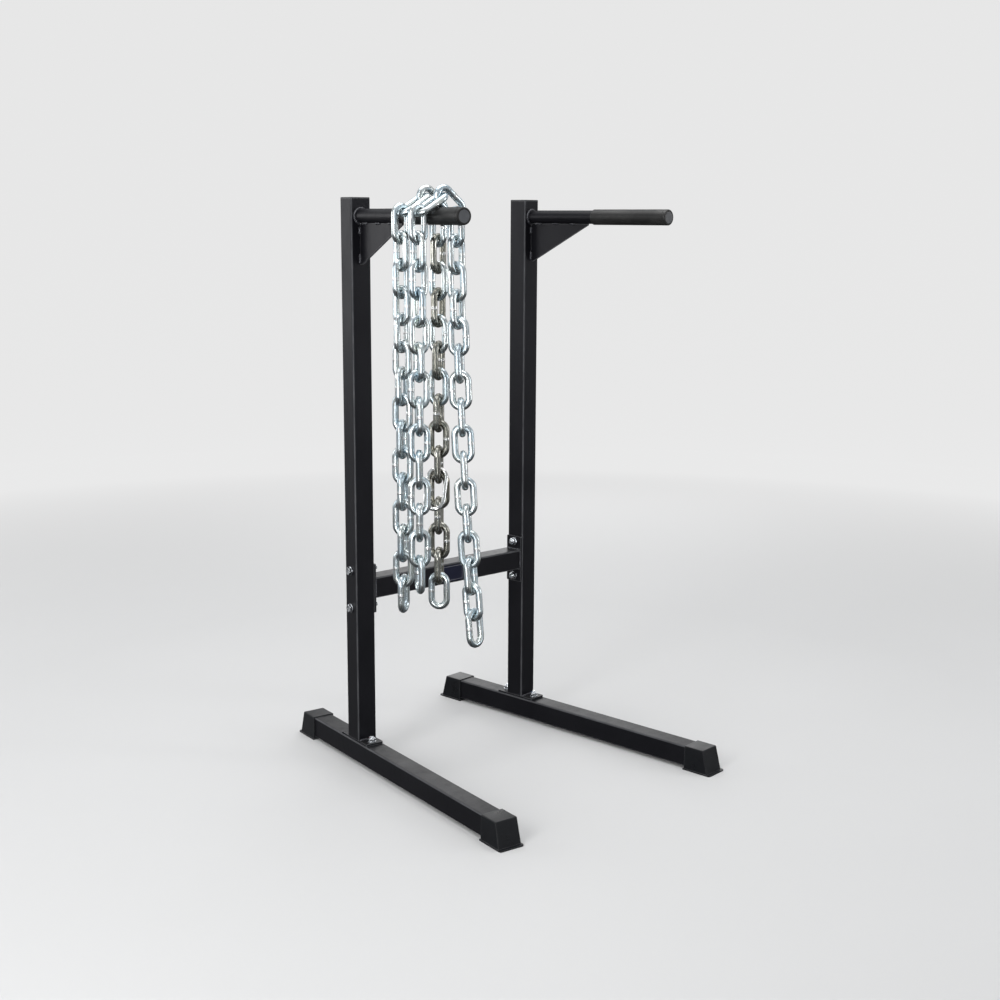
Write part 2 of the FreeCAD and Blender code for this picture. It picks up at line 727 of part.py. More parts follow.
# Each strand: chain station, side of the bar, links in it, how many of them are named upper, first
# facing angle, how far it has twisted at some of its links, how much its links turn to and fro at the
# top (this dies away to the bottom), and its lean along the bar in degrees per link.
STRANDS = {
    "rear_outer": ("rear_station", "outer", 15, 7, 90, ((0, 4), (9, 38)), 4, 0.0),
    "front_outer": ("front_station", "outer", 14, 6, 90,
                    ((0, 4), (2, 7), (6, -18), (9, -33), (11, -33), (13, -18)), 4, 0.0),
    "rear_inner": ("rear_station", "inner", 15, 7, 0, ((0, 14), (2, 20), (9, 45)), -4, 0.0),
    "front_inner": ("front_station", "inner", 16, 8, 0,
                    ((0, 9), (3, 24), (6, 54), (10, 56), (15, 13)), 0, 0.42),
}
LEAN_LEAD = 4


def twist_at(index, twists):
    """Twist of one link, on straight lines between the links whose twist is given."""
    for (before, first), (after, last) in zip(twists, twists[1:]):
        if index <= after:
            return first + (last - first) * (index - before) / (after - before)
    return twists[-1][1]


def strand_places(station, side, count, first_angle, twists, sway, lean):
    """Link placements of one hanging strand, from the bar downwards."""
    reach = DRAPE["reach"]
    if side == "outer":
        top = bar_point(size(station), DRAPE["outer"][0], DRAPE["outer"][1] + DRAPE["hook"])
    else:
        top = bar_point(size(station), DRAPE["inner_hook"][0], DRAPE["inner_hook"][1])
    places = []
    for index in range(count):
        angle = first_angle + 90 * index + twist_at(index, twists)
        angle += (-1) ** index * sway * (1 - index / count)
        tilt = math.radians(lean * (index + LEAN_LEAD))
        along = V(0, math.sin(tilt), math.cos(tilt))
        places.append(link_place(top - along * (reach / 2), along, facing(angle)))
        slack = size("hinge_gap") if index == 0 else size("link_gap")
        top = top - along * (reach - size("wire") - slack)
    return places


def strands(link):
    for name, (station, side, count, upper, *pose) in STRANDS.items():
        places = strand_places(station, side, count, *pose)
        group_node(f"{name}_top_link", link, places[:1])
        group_node(f"{name}_upper_links", link, places[1:upper])
        group_node(f"{name}_lower_links", link, places[upper:-1])
        group_node(f"{name}_end_link", link, places[-1:])


def box(name, x_size, y_size, low, high, x_low):
    """A box centred on the XZ plane, between two heights."""
    shape = DOC.addObject("Part::Box", name)
    bind(shape, "Length", x_size)
    bind(shape, "Width", y_size)
    bind(shape, "Height", f"({high}) - ({low})")
    bind(shape, "Placement.Base.x", x_low)
    bind(shape, "Placement.Base.y", f"-({y_size}) / 2")
    bind(shape, "Placement.Base.z", low)
    return shape


def crosswise(name, diameter, length):
    """A cylinder along Y through the gate's pin."""
    shape = cylinder(name, diameter, length)
    shape.Placement.Rotation = FreeCAD.Rotation(V(1, 0, 0), -90)
    bind(shape, "Placement.Base.x", GATE_X)
    bind(shape, "Placement.Base.y", f"-({length}) / 2")
    bind(shape, "Placement.Base.z", "gate_pin_height")
    return shape


def keep(shape, label, placement):
    """Make the last object of a chain of primitives and booleans a node."""
    shape.Label = label
    shape.Placement = placement
    NODES.append(shape)


SNAP_STRAND = "rear_inner"
SNAP_LINK = 9

# The snap hook lies in the XZ plane round its own middle, with the gate in its leg at -X.
SNAP_BEND = "(snap_width - snap_wire) / 2"
GATE_X = f"-{SNAP_BEND}"
SNAP_HALF = "(snap_length - snap_width) / 2"
GATE_TIP = "gate_pin_height - gate_reach"
NOSE_END = f"{GATE_TIP} - 1"


def snap_frame(placement):
    """A loop of wire, open in one leg: a drilled tongue above the gap and a flat nose below it."""
    tongue = crosswise("snap_tongue", "gate_wire", "tab_thickness")
    pieces = [half_ring("snap_bend_low", SNAP_BEND, "snap_wire", -1, SNAP_HALF),
              half_ring("snap_bend_high", SNAP_BEND, "snap_wire", 1, SNAP_HALF),
              leg("snap_leg", "snap_wire", SNAP_BEND, f"-{SNAP_HALF}", SNAP_HALF),
              leg("snap_stub_high", "snap_wire", GATE_X, "gate_pin_height + gate_room", SNAP_HALF),
              leg("snap_stub_low", "snap_wire", GATE_X, f"-{SNAP_HALF}", NOSE_END),
              tongue,
              box("snap_tongue_neck", "gate_wire", "tab_thickness", "gate_pin_height",
                  "gate_pin_height + gate_room + 1", f"{GATE_X} - gate_wire / 2"),
              box("snap_nose", "tab_width", "tab_thickness", f"{NOSE_END} - 1", f"{NOSE_END} + tab_reach",
                  f"{GATE_X} - snap_wire / 2")]
    loop = DOC.addObject("Part::MultiFuse", "snap_loop")
    loop.Shapes = pieces
    hole = crosswise("snap_hole", "gate_pin + 2 * play", "snap_wire")
    keep(boolean("Cut", "snap_hook", loop, hole), "snap_hook", placement)


def snap_gate(placement):
    """A round bar: a fork over the tongue at its top and a slot, open outwards, for the nose."""
    bar = leg("gate_bar", "gate_wire", GATE_X, GATE_TIP, "gate_pin_height + gate_wire / 2 + play")
    cuts = [box("gate_fork", "snap_wire", "gate_slot", "gate_pin_height - gate_wire / 2 - 2 * play",
                "gate_pin_height + gate_wire", f"{GATE_X} - snap_wire / 2"),
            box("gate_mouth", "tab_width + play", "gate_slot", f"{GATE_TIP} - 1",
                f"{NOSE_END} + tab_reach + play", f"{GATE_X} - snap_wire / 2"),
            crosswise("gate_hole", "gate_pin", "snap_wire")]
    tools = DOC.addObject("Part::MultiFuse", "gate_cuts")
    tools.Shapes = cuts
    keep(boolean("Cut", "snap_hook_gate", bar, tools), "snap_hook_gate", placement)


def snap_hook(station, side, count, *pose):
    """The snap hook hangs in one link of this strand, tilted out in front of the links below it."""
    places = strand_places(station, side, count, *pose)
    forward = places[SNAP_LINK].Rotation.multVec(V(-1, 0, 0))
    rise = (size("wire") + size("snap_wire")) / 2 + size("play")
    top = places[SNAP_LINK + 1].multVec(V(0, 0, DRAPE["reach"] / 2)) + V(0, 0, rise)
    top += forward * size("snap_offset")
    square = FreeCAD.Rotation(V(0, 0, 1).cross(forward), V(0, 0, 0), V(0, 0, 1), "ZXY")
    tilt = FreeCAD.Rotation(V(1, 0, 0), -size("snap_tilt"))
    roll = FreeCAD.Rotation(V(0, 1, 0), size("snap_roll"))
    drop = V(0, 0, -(size("snap_length") - size("snap_wire")) / 2)
    placement = FreeCAD.Placement(top, square * tilt * roll) * FreeCAD.Placement(drop, FreeCAD.Rotation())
    snap_frame(placement)
    snap_gate(placement)
    pin = crosswise("snap_pin_blank", "gate_pin", "gate_wire + 3 * play")
    keep(bevelled(pin, "snap_hook_pin", size("play")), "snap_hook_pin", placement)


def chains():
    link = link_shape()
    for name in ("rear", "front"):
        over_bar_links(f"{name}_chain", size(f"{name}_station"), link)
    strands(link)
    station, side, count, _, *pose = STRANDS[SNAP_STRAND]
    snap_hook(station, side, count, *pose)


# ---------------------------------------------------------------------------
# Build, check and write
# ---------------------------------------------------------------------------

def build():
    for side in SIDES:
        foot_tube(side)
        for end in ("front", "rear"):
            foot_cap(side, end)
        base_plate(side)
        upright(side)
        top_plug(side)
        dip_bar(side)
        gusset(side)
        bar_weld(side)
        grip(side)
        crossbar_plate(side)
    crossbar()
    fasteners()
    chains()
    DOC.recompute()


def write():
    broken = [item.Label for item in DOC.Objects if {"Invalid", "Error"} & set(item.State)]
    if broken:
        raise RuntimeError(f"objects with errors: {broken}")
    os.makedirs("parts", exist_ok=True)
    for node in NODES:
        if node.Shape.isNull() or not node.Shape.isValid():
            raise RuntimeError(f"{node.Label} has a bad shape")
        node.Shape.exportStep(f"parts/{node.Label}.step")


build()
write()
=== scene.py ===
"""Looks of the dip station with two lifting chains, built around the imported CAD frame.  Metres, +Z up."""

import json
import math
import random

import bmesh
import bpy
import numpy as np
from mathutils import Matrix, Vector


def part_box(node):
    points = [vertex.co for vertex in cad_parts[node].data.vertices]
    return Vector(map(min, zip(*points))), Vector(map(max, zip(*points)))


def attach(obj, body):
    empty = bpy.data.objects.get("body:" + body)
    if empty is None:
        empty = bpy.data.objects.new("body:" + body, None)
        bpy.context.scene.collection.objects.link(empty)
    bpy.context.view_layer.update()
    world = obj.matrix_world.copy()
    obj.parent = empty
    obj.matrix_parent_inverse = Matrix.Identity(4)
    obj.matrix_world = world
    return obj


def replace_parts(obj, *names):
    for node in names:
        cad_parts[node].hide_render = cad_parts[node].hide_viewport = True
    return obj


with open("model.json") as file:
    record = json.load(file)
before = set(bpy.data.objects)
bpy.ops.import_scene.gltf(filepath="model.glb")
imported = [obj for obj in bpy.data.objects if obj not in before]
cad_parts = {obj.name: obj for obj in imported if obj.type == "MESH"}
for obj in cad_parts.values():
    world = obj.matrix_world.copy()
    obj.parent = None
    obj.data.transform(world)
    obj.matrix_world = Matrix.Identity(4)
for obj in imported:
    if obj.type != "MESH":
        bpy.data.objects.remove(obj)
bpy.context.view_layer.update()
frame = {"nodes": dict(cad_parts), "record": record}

MM = 0.001
TAU = math.tau

# ---------------------------------------------------------------------------
# Sizes shared with the frame, in metres
# ---------------------------------------------------------------------------

SPLAY = math.radians(6.2)
TUBE = 50 * MM
PLATE = 5 * MM
PLATE_WIDTH = 47 * MM
BOLT_SPACING = 90 * MM
BOLT_RADIUS = 5 * MM
THREAD_PITCH = 1.5 * MM
HEX_FLATS = 17 * MM
BAR_RADIUS = 15.9 * MM
BAR_END = 436 * MM
GUSSET = 5 * MM
WIRE_RADIUS = 7.25 * MM
LINK_BEND = 17.25 * MM
LINK_STRAIGHT = 18.9 * MM


# ---------------------------------------------------------------------------
# Node materials
# ---------------------------------------------------------------------------

# Cosines between a surface and its rounded neighbourhood, where the lighter edges (partly rubbed, partly a
# painted highlight) start and are full, and between a surface and its nearest axis, where the painted corner
# highlight starts and is full.
EDGE_FLAT, EDGE_FULL = 0.995, 0.93
CORNER_FLAT, CORNER_FULL = 0.985, 0.92


def feed(tree, socket, value):
    """Link a socket to another socket, or set its constant."""
    if isinstance(value, bpy.types.NodeSocket):
        tree.links.new(value, socket)
    else:
        socket.default_value = value


def add_node(tree, kind, inputs=(), **settings):
    """A new node with its settings, and its inputs by name or number."""
    node = tree.nodes.new(kind)
    for key, value in settings.items():
        setattr(node, key, value)
    for key, value in dict(inputs).items():
        feed(tree, node.inputs[key], value)
    return node


class Surface:
    """A Principled material with short calls for the nodes that feed it.  Texture scales are per metre."""

    def __init__(self, name, **fixed):
        self.material = bpy.data.materials.new(name)
        self.material.use_nodes = True
        self.tree = self.material.node_tree
        self.shader = self.tree.nodes["Principled BSDF"]
        for key, value in fixed.items():
            self.shader.inputs[key.replace("_", " ")].default_value = value
        self.place = self.node("ShaderNodeTexCoord").outputs["Object"]

    def node(self, kind, inputs=(), **settings):
        return add_node(self.tree, kind, inputs, **settings)

    def stretched(self, x, y, z):
        """Object coordinates with each axis scaled."""
        return self.node("ShaderNodeMapping", {"Vector": self.place, "Scale": (x, y, z)}).outputs[0]

    def noise(self, scale, detail=2.0, roughness=0.5, vector=None):
        inputs = {"Vector": vector or self.place, "Scale": scale, "Detail": detail, "Roughness": roughness}
        return self.node("ShaderNodeTexNoise", inputs).outputs["Fac"]

    def cells(self, scale):
        return self.node("ShaderNodeTexVoronoi", {"Vector": self.place, "Scale": scale}).outputs[0]

    def spread(self, value, low, high, to_low=0.0, to_high=1.0):
        """Map a value from one range to another, clamped."""
        inputs = {"Value": value, "From Min": low, "From Max": high, "To Min": to_low, "To Max": to_high}
        return self.node("ShaderNodeMapRange", inputs).outputs[0]

    def mix(self, amount, first, second):
        """Blend two colours; 6, 7 and output 2 are the Mix node's colour sockets."""
        return self.node("ShaderNodeMix", {0: amount, 6: first, 7: second}, data_type="RGBA").outputs[2]

    def maths(self, operation, first, second):
        return self.node("ShaderNodeMath", {0: first, 1: second}, operation=operation).outputs[0]

    def attribute(self, name):
        return self.node("ShaderNodeAttribute", attribute_name=name).outputs["Fac"]

    def edges(self, radius):
        """1 along convex and concave edges, 0 on the flats."""
        rounded = self.node("ShaderNodeBevel", {"Radius": radius}, samples=6).outputs[0]
        flat = self.node("ShaderNodeNewGeometry").outputs["Normal"]
        dot = self.node("ShaderNodeVectorMath", {0: rounded, 1: flat}, operation="DOT_PRODUCT")
        return self.spread(dot.outputs["Value"], EDGE_FLAT, EDGE_FULL)

    def corners(self):
        """1 on the rounded corners of square tube, 0 on its flats; the side frames' splay counts as flat."""
        normal = self.node("ShaderNodeNewGeometry").outputs["Normal"]
        sizes = self.node("ShaderNodeVectorMath", {0: normal}, operation="ABSOLUTE").outputs[0]
        split = self.node("ShaderNodeSeparateXYZ", {"Vector": sizes}).outputs
        largest = self.maths("MAXIMUM", self.maths("MAXIMUM", split[0], split[1]), split[2])
        return self.spread(largest, CORNER_FLAT, CORNER_FULL)

    def colour(self, socket):
        self.tree.links.new(socket, self.shader.inputs["Base Color"])

    def roughness(self, socket):
        self.tree.links.new(socket, self.shader.inputs["Roughness"])

    def bump(self, *layers):
        """Stack height layers of (height socket, depth in metres, strength)."""
        normal = None
        for height, depth, strength in layers:
            inputs = {"Height": height, "Distance": depth, "Strength": strength}
            if normal is not None:
                inputs["Normal"] = normal
            normal = self.node("ShaderNodeBump", inputs).outputs[0]
        self.tree.links.new(normal, self.shader.inputs["Normal"])


def grey(value, tint=(1, 1, 1)):
    return tuple(value * part for part in tint) + (1,)


# Lighter colours of the edges of paint and plastic, partly rubbed and partly a painted highlight; the corner
# colour is a painted highlight on tube corners.
WORN_AND_HIGHLIT_PAINT = grey(0.085, (0.98, 1, 1.06))
CORNER_HIGHLIGHT_PAINT = grey(0.095, (0.98, 1, 1.06))
WORN_AND_HIGHLIT_PLASTIC = grey(0.085, (0.98, 1, 1.04))


def powder_coat(name, level, shine, specular, corner=0.0):
    """Black paint: clouded, speckled, dusty on top and lighter at edges, partly rubbed and partly a painted
    highlight; corner is the strength of a painted highlight on tube corners.
    """
    s = Surface(name, Specular_IOR_Level=specular, Specular_Tint=(0.94, 0.94, 1.0, 1.0))
    cloud = s.noise(7, 4, 0.6)
    specks = s.spread(s.noise(420, 2, 0.7), 0.62, 0.78)
    patches = s.spread(cloud, 0.3, 0.7)
    base = s.mix(patches, grey(level, (1, 1, 1.35)), grey(1.5 * level, (1, 1, 1.3)))
    facing = s.node("ShaderNodeSeparateXYZ", {"Vector": s.node("ShaderNodeNewGeometry").outputs["Normal"]})
    on_top = s.spread(facing.outputs["Z"], 0.7, 1.0)
    dust = s.maths("MULTIPLY", on_top, s.spread(s.noise(38, 5, 0.7), 0.4, 0.75))
    dusty = s.mix(s.maths("MULTIPLY", dust, 0.4), base, grey(0.05, (1, 0.98, 0.95)))
    speckled = s.mix(s.maths("MULTIPLY", specks, 0.3), dusty, grey(0.03))
    # Lighter edges: partly rubbed paint, partly a painted highlight along them.
    rubbed = s.maths("MULTIPLY", s.edges(0.003), s.spread(s.noise(22, 4, 0.6), 0.35, 0.65, 0.5, 1.0))
    worn_and_highlit = s.mix(rubbed, speckled, WORN_AND_HIGHLIT_PAINT)
    # Painted highlight: a lighter colour along the rounded tube corners.
    if corner:
        thin = s.maths("MULTIPLY", s.corners(), s.spread(s.noise(17, 4, 0.6), 0.3, 0.7, 0.45, 1.0))
        worn_and_highlit = s.mix(s.maths("MULTIPLY", thin, corner), worn_and_highlit, CORNER_HIGHLIGHT_PAINT)
    s.colour(worn_and_highlit)
    rub = s.noise(1, 3, 0.6, s.stretched(60, 60, 9))
    clouded = s.spread(cloud, 0.3, 0.7, shine, shine + 0.08)
    s.roughness(s.maths("ADD", clouded, s.spread(rub, 0.5, 0.8, 0.0, 0.09)))
    s.bump((s.noise(750, 2, 0.5), 0.00009, 0.55), (s.noise(190, 2, 0.5), 0.00016, 0.35))
    return s.material


def cap_plastic():
    """Moulded black plastic with a fine grain, scuffs and edges that are lighter, partly rubbed and partly a
    painted highlight.
    """
    s = Surface("cap_plastic", Specular_IOR_Level=0.3)
    cloud = s.noise(24, 4, 0.6)
    scuff = s.spread(s.noise(1, 4, 0.7, s.stretched(90, 90, 260)), 0.6, 0.8)
    base = s.mix(cloud, grey(0.0055, (0.9, 1.0, 1.25)), grey(0.009, (0.9, 1.0, 1.25)))
    scuffed = s.mix(s.maths("MULTIPLY", scuff, 0.3), base, grey(0.06, (0.98, 1, 1.02)))
    # Lighter edges: partly rubbed plastic, partly a painted highlight along them.
    rubbed = s.maths("MULTIPLY", s.edges(0.002), s.spread(s.noise(40, 4, 0.6), 0.35, 0.65, 0.4, 0.9))
    s.colour(s.mix(rubbed, scuffed, WORN_AND_HIGHLIT_PLASTIC))
    s.roughness(s.spread(cloud, 0.3, 0.7, 0.26, 0.4))
    s.bump((s.cells(1400), 0.00006, 0.5), (s.noise(120, 2, 0.5), 0.0002, 0.25))
    return s.material


def grip_rubber(name, low, high, worn_and_highlit):
    """Grained rubber mottled between two shades, with smoother, rubbed patches whose lighter colour is partly
    from use and partly a painted sheen.
    """
    s = Surface(name, Specular_IOR_Level=0.35)
    cloud = s.noise(30, 4, 0.6)
    wear_and_sheen = s.spread(s.noise(14, 4, 0.65, s.stretched(1, 0.5, 1)), 0.46, 0.68)
    # The patches' lighter colour is partly from use and partly a painted sheen; they are also smoother.
    s.colour(s.mix(s.maths("MULTIPLY", wear_and_sheen, 0.5), s.mix(cloud, low, high), worn_and_highlit))
    s.roughness(s.spread(wear_and_sheen, 0, 1, 0.46, 0.34))
    s.bump((s.noise(1700, 3, 0.7), 0.00007, 0.6), (s.cells(520), 0.00008, 0.3))
    return s.material


def zinc(name, light, dark, cool, warm, roughness):
    """Zinc plate on drawn wire: streaks along the wire, cool and straw tints, a bright rubbed weld."""
    s = Surface(name, Metallic=1.0)
    cloud = s.noise(55, 4, 0.6)
    film = s.noise(26, 2, 0.5, s.stretched(1, 1, 0.35))
    straw = s.noise(34, 3, 0.6, s.stretched(1, 1, 0.5))
    spots = s.spread(s.noise(300, 3, 0.7), 0.55, 0.75)
    streak = s.attribute("streak")
    base = s.mix(s.spread(cloud, 0.25, 0.75), dark, light)
    base = s.mix(s.spread(film, 0.42, 0.66, 0.0, 0.75), base, cool)
    base = s.mix(s.spread(straw, 0.5, 0.7, 0.0, 0.5), base, warm)
    base = s.mix(s.spread(streak, 0.4, 1.0, 0.0, 0.8), base, cool)
    base = s.mix(s.maths("MULTIPLY", s.attribute("tone"), 0.3), base, dark)
    base = s.mix(s.maths("MULTIPLY", spots, 0.2), base, grey(0.5, (1, 1, 1.02)))
    s.colour(s.mix(s.maths("MULTIPLY", s.attribute("weld"), 0.8), base, grey(0.86)))
    drawn = s.spread(streak, 0.2, 0.9, roughness - 0.05, roughness + 0.09)
    s.roughness(s.maths("ADD", drawn, s.spread(spots, 0, 1, 0, 0.1)))
    s.bump((streak, 0.0003, 0.4), (s.noise(1, 3, 0.6, s.stretched(900, 900, 260)), 0.00003, 0.3),
           (s.noise(150, 2, 0.5), 0.0001, 0.2))
    return s.material


def fastener_zinc():
    s = Surface("fastener_zinc", Metallic=1.0)
    cloud = s.noise(140, 3, 0.6)
    s.colour(s.mix(cloud, grey(0.6, (0.96, 1.0, 1.05)), grey(0.86, (0.98, 1.0, 1.03))))
    s.roughness(s.spread(cloud, 0.3, 0.7, 0.16, 0.28))
    s.bump((s.noise(1500, 2, 0.5), 0.00003, 0.4),)
    return s.material


def nylon():
    s = Surface("nylon_ring", Subsurface_Weight=0.2, Subsurface_Scale=0.001)
    cloud = s.noise(200, 2, 0.5)
    s.colour(s.mix(cloud, (0.5, 0.55, 0.62, 1), (0.62, 0.66, 0.72, 1)))
    s.roughness(s.spread(cloud, 0, 1, 0.4, 0.5))
    s.bump((s.noise(900, 2, 0.5), 0.00004, 0.3),)
    return s.material


def polished_steel():
    s = Surface("polished_steel", Metallic=1.0)
    cloud = s.noise(90, 3, 0.5)
    s.colour(s.mix(cloud, grey(0.78, (1, 0.99, 0.97)), grey(0.9, (1, 1, 0.99))))
    s.roughness(s.spread(cloud, 0.3, 0.7, 0.07, 0.15))
    s.bump((s.noise(260, 2, 0.5), 0.00012, 0.25),)
    return s.material


def label_vinyl(name, first, second):
    s = Surface(name, Specular_IOR_Level=0.25, Coat_Weight=0.15, Coat_Roughness=0.15)
    cloud = s.noise(60, 3, 0.5)
    s.colour(s.mix(cloud, first, second))
    s.roughness(s.spread(cloud, 0, 1, 0.3, 0.42))
    s.bump((s.noise(500, 2, 0.5), 0.00004, 0.3),)
    return s.material


PAINT = powder_coat("powder_coat", 0.0045, 0.34, 0.22)
# This paint adds a painted highlight along the tube corners.
HIGHLIT_TUBE_PAINT = powder_coat("powder_coat_tube_corner_highlight", 0.0045, 0.34, 0.22, corner=0.8)
# Bead paint: glossier, and its lighter colour is a painted highlight.
HIGHLIT_BEAD_PAINT = powder_coat("powder_coat_bead_highlit", 0.012, 0.18, 0.6)
PLASTIC = cap_plastic()
RUBBER = grip_rubber("grip_rubber", grey(0.008), grey(0.013, (1.02, 1, 0.99)),
                     grey(0.045, (1.02, 1, 0.98)))
# The grip's end face: a lighter, bluer copy of the grip rubber, painted light.
PAINTED_LIGHT_RUBBER_END = grip_rubber("grip_end_rubber_painted_light", grey(0.05, (0.95, 1, 1.12)), grey(0.09, (0.95, 1, 1.1)),
                         grey(0.14))
BRIGHT_ZINC = zinc("chain_zinc", grey(0.92, (0.97, 1.0, 0.99)), grey(0.66, (0.94, 1.0, 1.0)),
                   (0.5, 0.62, 0.7, 1), (0.84, 0.87, 0.76, 1), 0.25)
DARK_ZINC = zinc("chain_zinc_dull", grey(0.66, (1.0, 0.99, 0.92)), grey(0.34, (1.02, 1.0, 0.88)),
                 (0.15, 0.145, 0.115, 1), (0.66, 0.64, 0.55, 1), 0.2)
FASTENER = fastener_zinc()
NYLON = nylon()
POLISHED = polished_steel()
LABEL = label_vinyl("label_navy", (0.004, 0.005, 0.018, 1), (0.007, 0.009, 0.026, 1))
LABEL_RULE = label_vinyl("label_rule", (0.3, 0.3, 0.32, 1), (0.38, 0.38, 0.4, 1))


# ---------------------------------------------------------------------------
# Mesh helpers
# ---------------------------------------------------------------------------

SHARP_ANGLE = math.radians(38)


def link_object(name, data):
    """A new object of the scene."""
    thing = bpy.data.objects.new(name, data)
    bpy.context.scene.collection.objects.link(thing)
    return thing


class Builder:
    """Collects grids of points into one mesh.  A face's kind is the number of its material."""

    def __init__(self):
        self.verts = []
        self.faces = []
        self.kinds = []
        self.values = {}

    def point(self, place, **values):
        self.verts.append(Vector(place))
        for key, value in values.items():
            self.values.setdefault(key, {})[len(self.verts) - 1] = value
        return len(self.verts) - 1

    def face(self, *corners, kind=0):
        self.faces.append(corners)
        self.kinds.append(kind)

    def grid(self, rows, closed_along=False, kind=0):
        """Faces between closed rings of point numbers."""
        count = len(rows)
        for i in range(count if closed_along else count - 1):
            first, second = rows[i], rows[(i + 1) % count]
            width = len(first)
            for j in range(width):
                k = (j + 1) % width
                self.face(first[j], first[k], second[k], second[j], kind=kind)

    def cap(self, row, middle, kind=0, flip=False):
        """Close a ring with a fan to a middle point."""
        centre = self.point(middle)
        for j in range(len(row)):
            pair = (row[j], row[(j + 1) % len(row)])
            if flip:
                pair = pair[::-1]
            self.face(pair[0], pair[1], centre, kind=kind)

    def mesh(self, name, materials):
        """The smooth-shaded mesh, with the point values as attributes."""
        mesh = bpy.data.meshes.new(name)
        mesh.from_pydata([tuple(v) for v in self.verts], [], self.faces)
        for material in materials:
            mesh.materials.append(material)
        mesh.polygons.foreach_set("material_index", self.kinds)
        for key, found in self.values.items():
            column = [found.get(i, 0.0) for i in range(len(self.verts))]
            mesh.attributes.new(key, "FLOAT", "POINT").data.foreach_set("value", column)
        mesh.validate()
        mesh.shade_smooth()
        return mesh

    def make(self, name, body, slot, *materials):
        """A piece with crisp edges that rides on a CAD body."""
        mesh = self.mesh(name, materials)
        mesh.set_sharp_from_angle(angle=SHARP_ANGLE)
        piece = link_object(name, mesh)
        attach(piece, body)
        return piece


def polar(radius, angle, height):
    return Vector((radius * math.cos(angle), radius * math.sin(angle), height))


def lathe(builder, place, profile, segments=64, kind=0, radius_at=None,
          close_low=True, close_high=True, end_bands=0):
    """Turn a profile of (radius, height) round the place's Z axis; radius_at may reshape each radius.

    The last end_bands bands and the upper cap take the next material after kind.
    """
    rows = []
    for radius, height in profile:
        row = []
        for j in range(segments):
            angle = TAU * j / segments
            r = radius_at(radius, height, angle) if radius_at else radius
            row.append(builder.point(place @ polar(r, angle, height)))
        rows.append(row)
    plain = len(rows) - 1 - end_bands
    builder.grid(rows[:plain + 1], kind=kind)
    if end_bands:
        builder.grid(rows[plain:], kind=kind + 1)
        kind += 1
    if close_low:
        builder.cap(rows[0], place @ Vector((0, 0, profile[0][1])), kind, flip=True)
    if close_high:
        builder.cap(rows[-1], place @ Vector((0, 0, profile[-1][1])), kind)


def arc(centre, radius, start, end, steps):
    """Points of an arc in the (radius, height) plane, angles in degrees."""
    turns = [math.radians(start + (end - start) * i / steps) for i in range(steps + 1)]
    return [(centre[0] + radius * math.cos(t), centre[1] + radius * math.sin(t)) for t in turns]


def side_sign(side):
    return -1 if side == "left" else 1


def side_frame(side):
    """The side frame's own axes: origin on the floor under the upright, -Y along the bar, Z up."""
    low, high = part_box(f"{side}_upright")
    middle = (low + high) / 2
    middle.z = 0
    return Matrix.Translation(middle) @ Matrix.Rotation(side_sign(side) * SPLAY, 4, "Z")


SIDES = {side: side_frame(side) for side in ("left", "right")}
BAR_HEIGHT = sum(corner.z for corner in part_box("left_dip_bar")) / 2
CROSSBAR_HEIGHT = sum(corner.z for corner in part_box("crossbar")) / 2
PLATE_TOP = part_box("left_base_plate")[1].z


# ---------------------------------------------------------------------------
# Chain links
# ---------------------------------------------------------------------------

def solids_of(node):
    """The separate closed solids of a CAD node, as lists of triangles."""
    work = bmesh.new()
    work.from_mesh(frame["nodes"][node].data)
    bmesh.ops.remove_doubles(work, verts=work.verts, dist=1e-6)
    bmesh.ops.triangulate(work, faces=work.faces)
    seen, solids = set(), []
    for start in work.verts:
        if start.index in seen or not start.link_faces:
            continue
        stack, members = [start], set()
        seen.add(start.index)
        while stack:
            vert = stack.pop()
            for face in vert.link_faces:
                members.add(face)
                for other in face.verts:
                    if other.index not in seen:
                        seen.add(other.index)
                        stack.append(other)
        solids.append([[v.co.copy() for v in face.verts] for face in members])
    work.free()
    return solids


def solid_axes(triangles):
    """Centre of volume and the axes of least, middle and most inertia of a closed solid."""
    corners = np.array([[tuple(p) for p in t] for t in triangles])
    volumes = np.einsum("ij,ij->i", corners[:, 0], np.cross(corners[:, 1], corners[:, 2])) / 6
    total = volumes.sum()
    centre = (corners.sum(axis=1) / 4 * volumes[:, None]).sum(axis=0) / total
    local = corners - centre
    volumes = np.einsum("ij,ij->i", local[:, 0], np.cross(local[:, 1], local[:, 2])) / 6
    sums = local.sum(axis=1)
    spread = np.einsum("i,ij,ik->jk", volumes, sums, sums)
    spread += np.einsum("i,inj,ink->jk", volumes, local, local)
    _, vectors = np.linalg.eigh(spread * np.sign(total))
    axes = [Vector(vectors[:, i]) for i in (2, 1, 0)]
    return Vector(centre), axes, local.reshape(-1, 3)


def link_frame(triangles):
    """A link's own axes: Z along it, X towards its weld."""
    centre, (along, across, _), points = solid_axes(triangles)
    if along.z < 0:
        along = -along
    reach = [across.dot(Vector(p)) for p in points]
    if max(reach) < -min(reach):
        across = -across
    normal = along.cross(across)
    turn = Matrix((across, normal, along)).transposed().to_4x4()
    return Matrix.Translation(centre) @ turn


BEND_STEPS = 22
LEG_STEPS = 22
ROUND_STEPS = 28


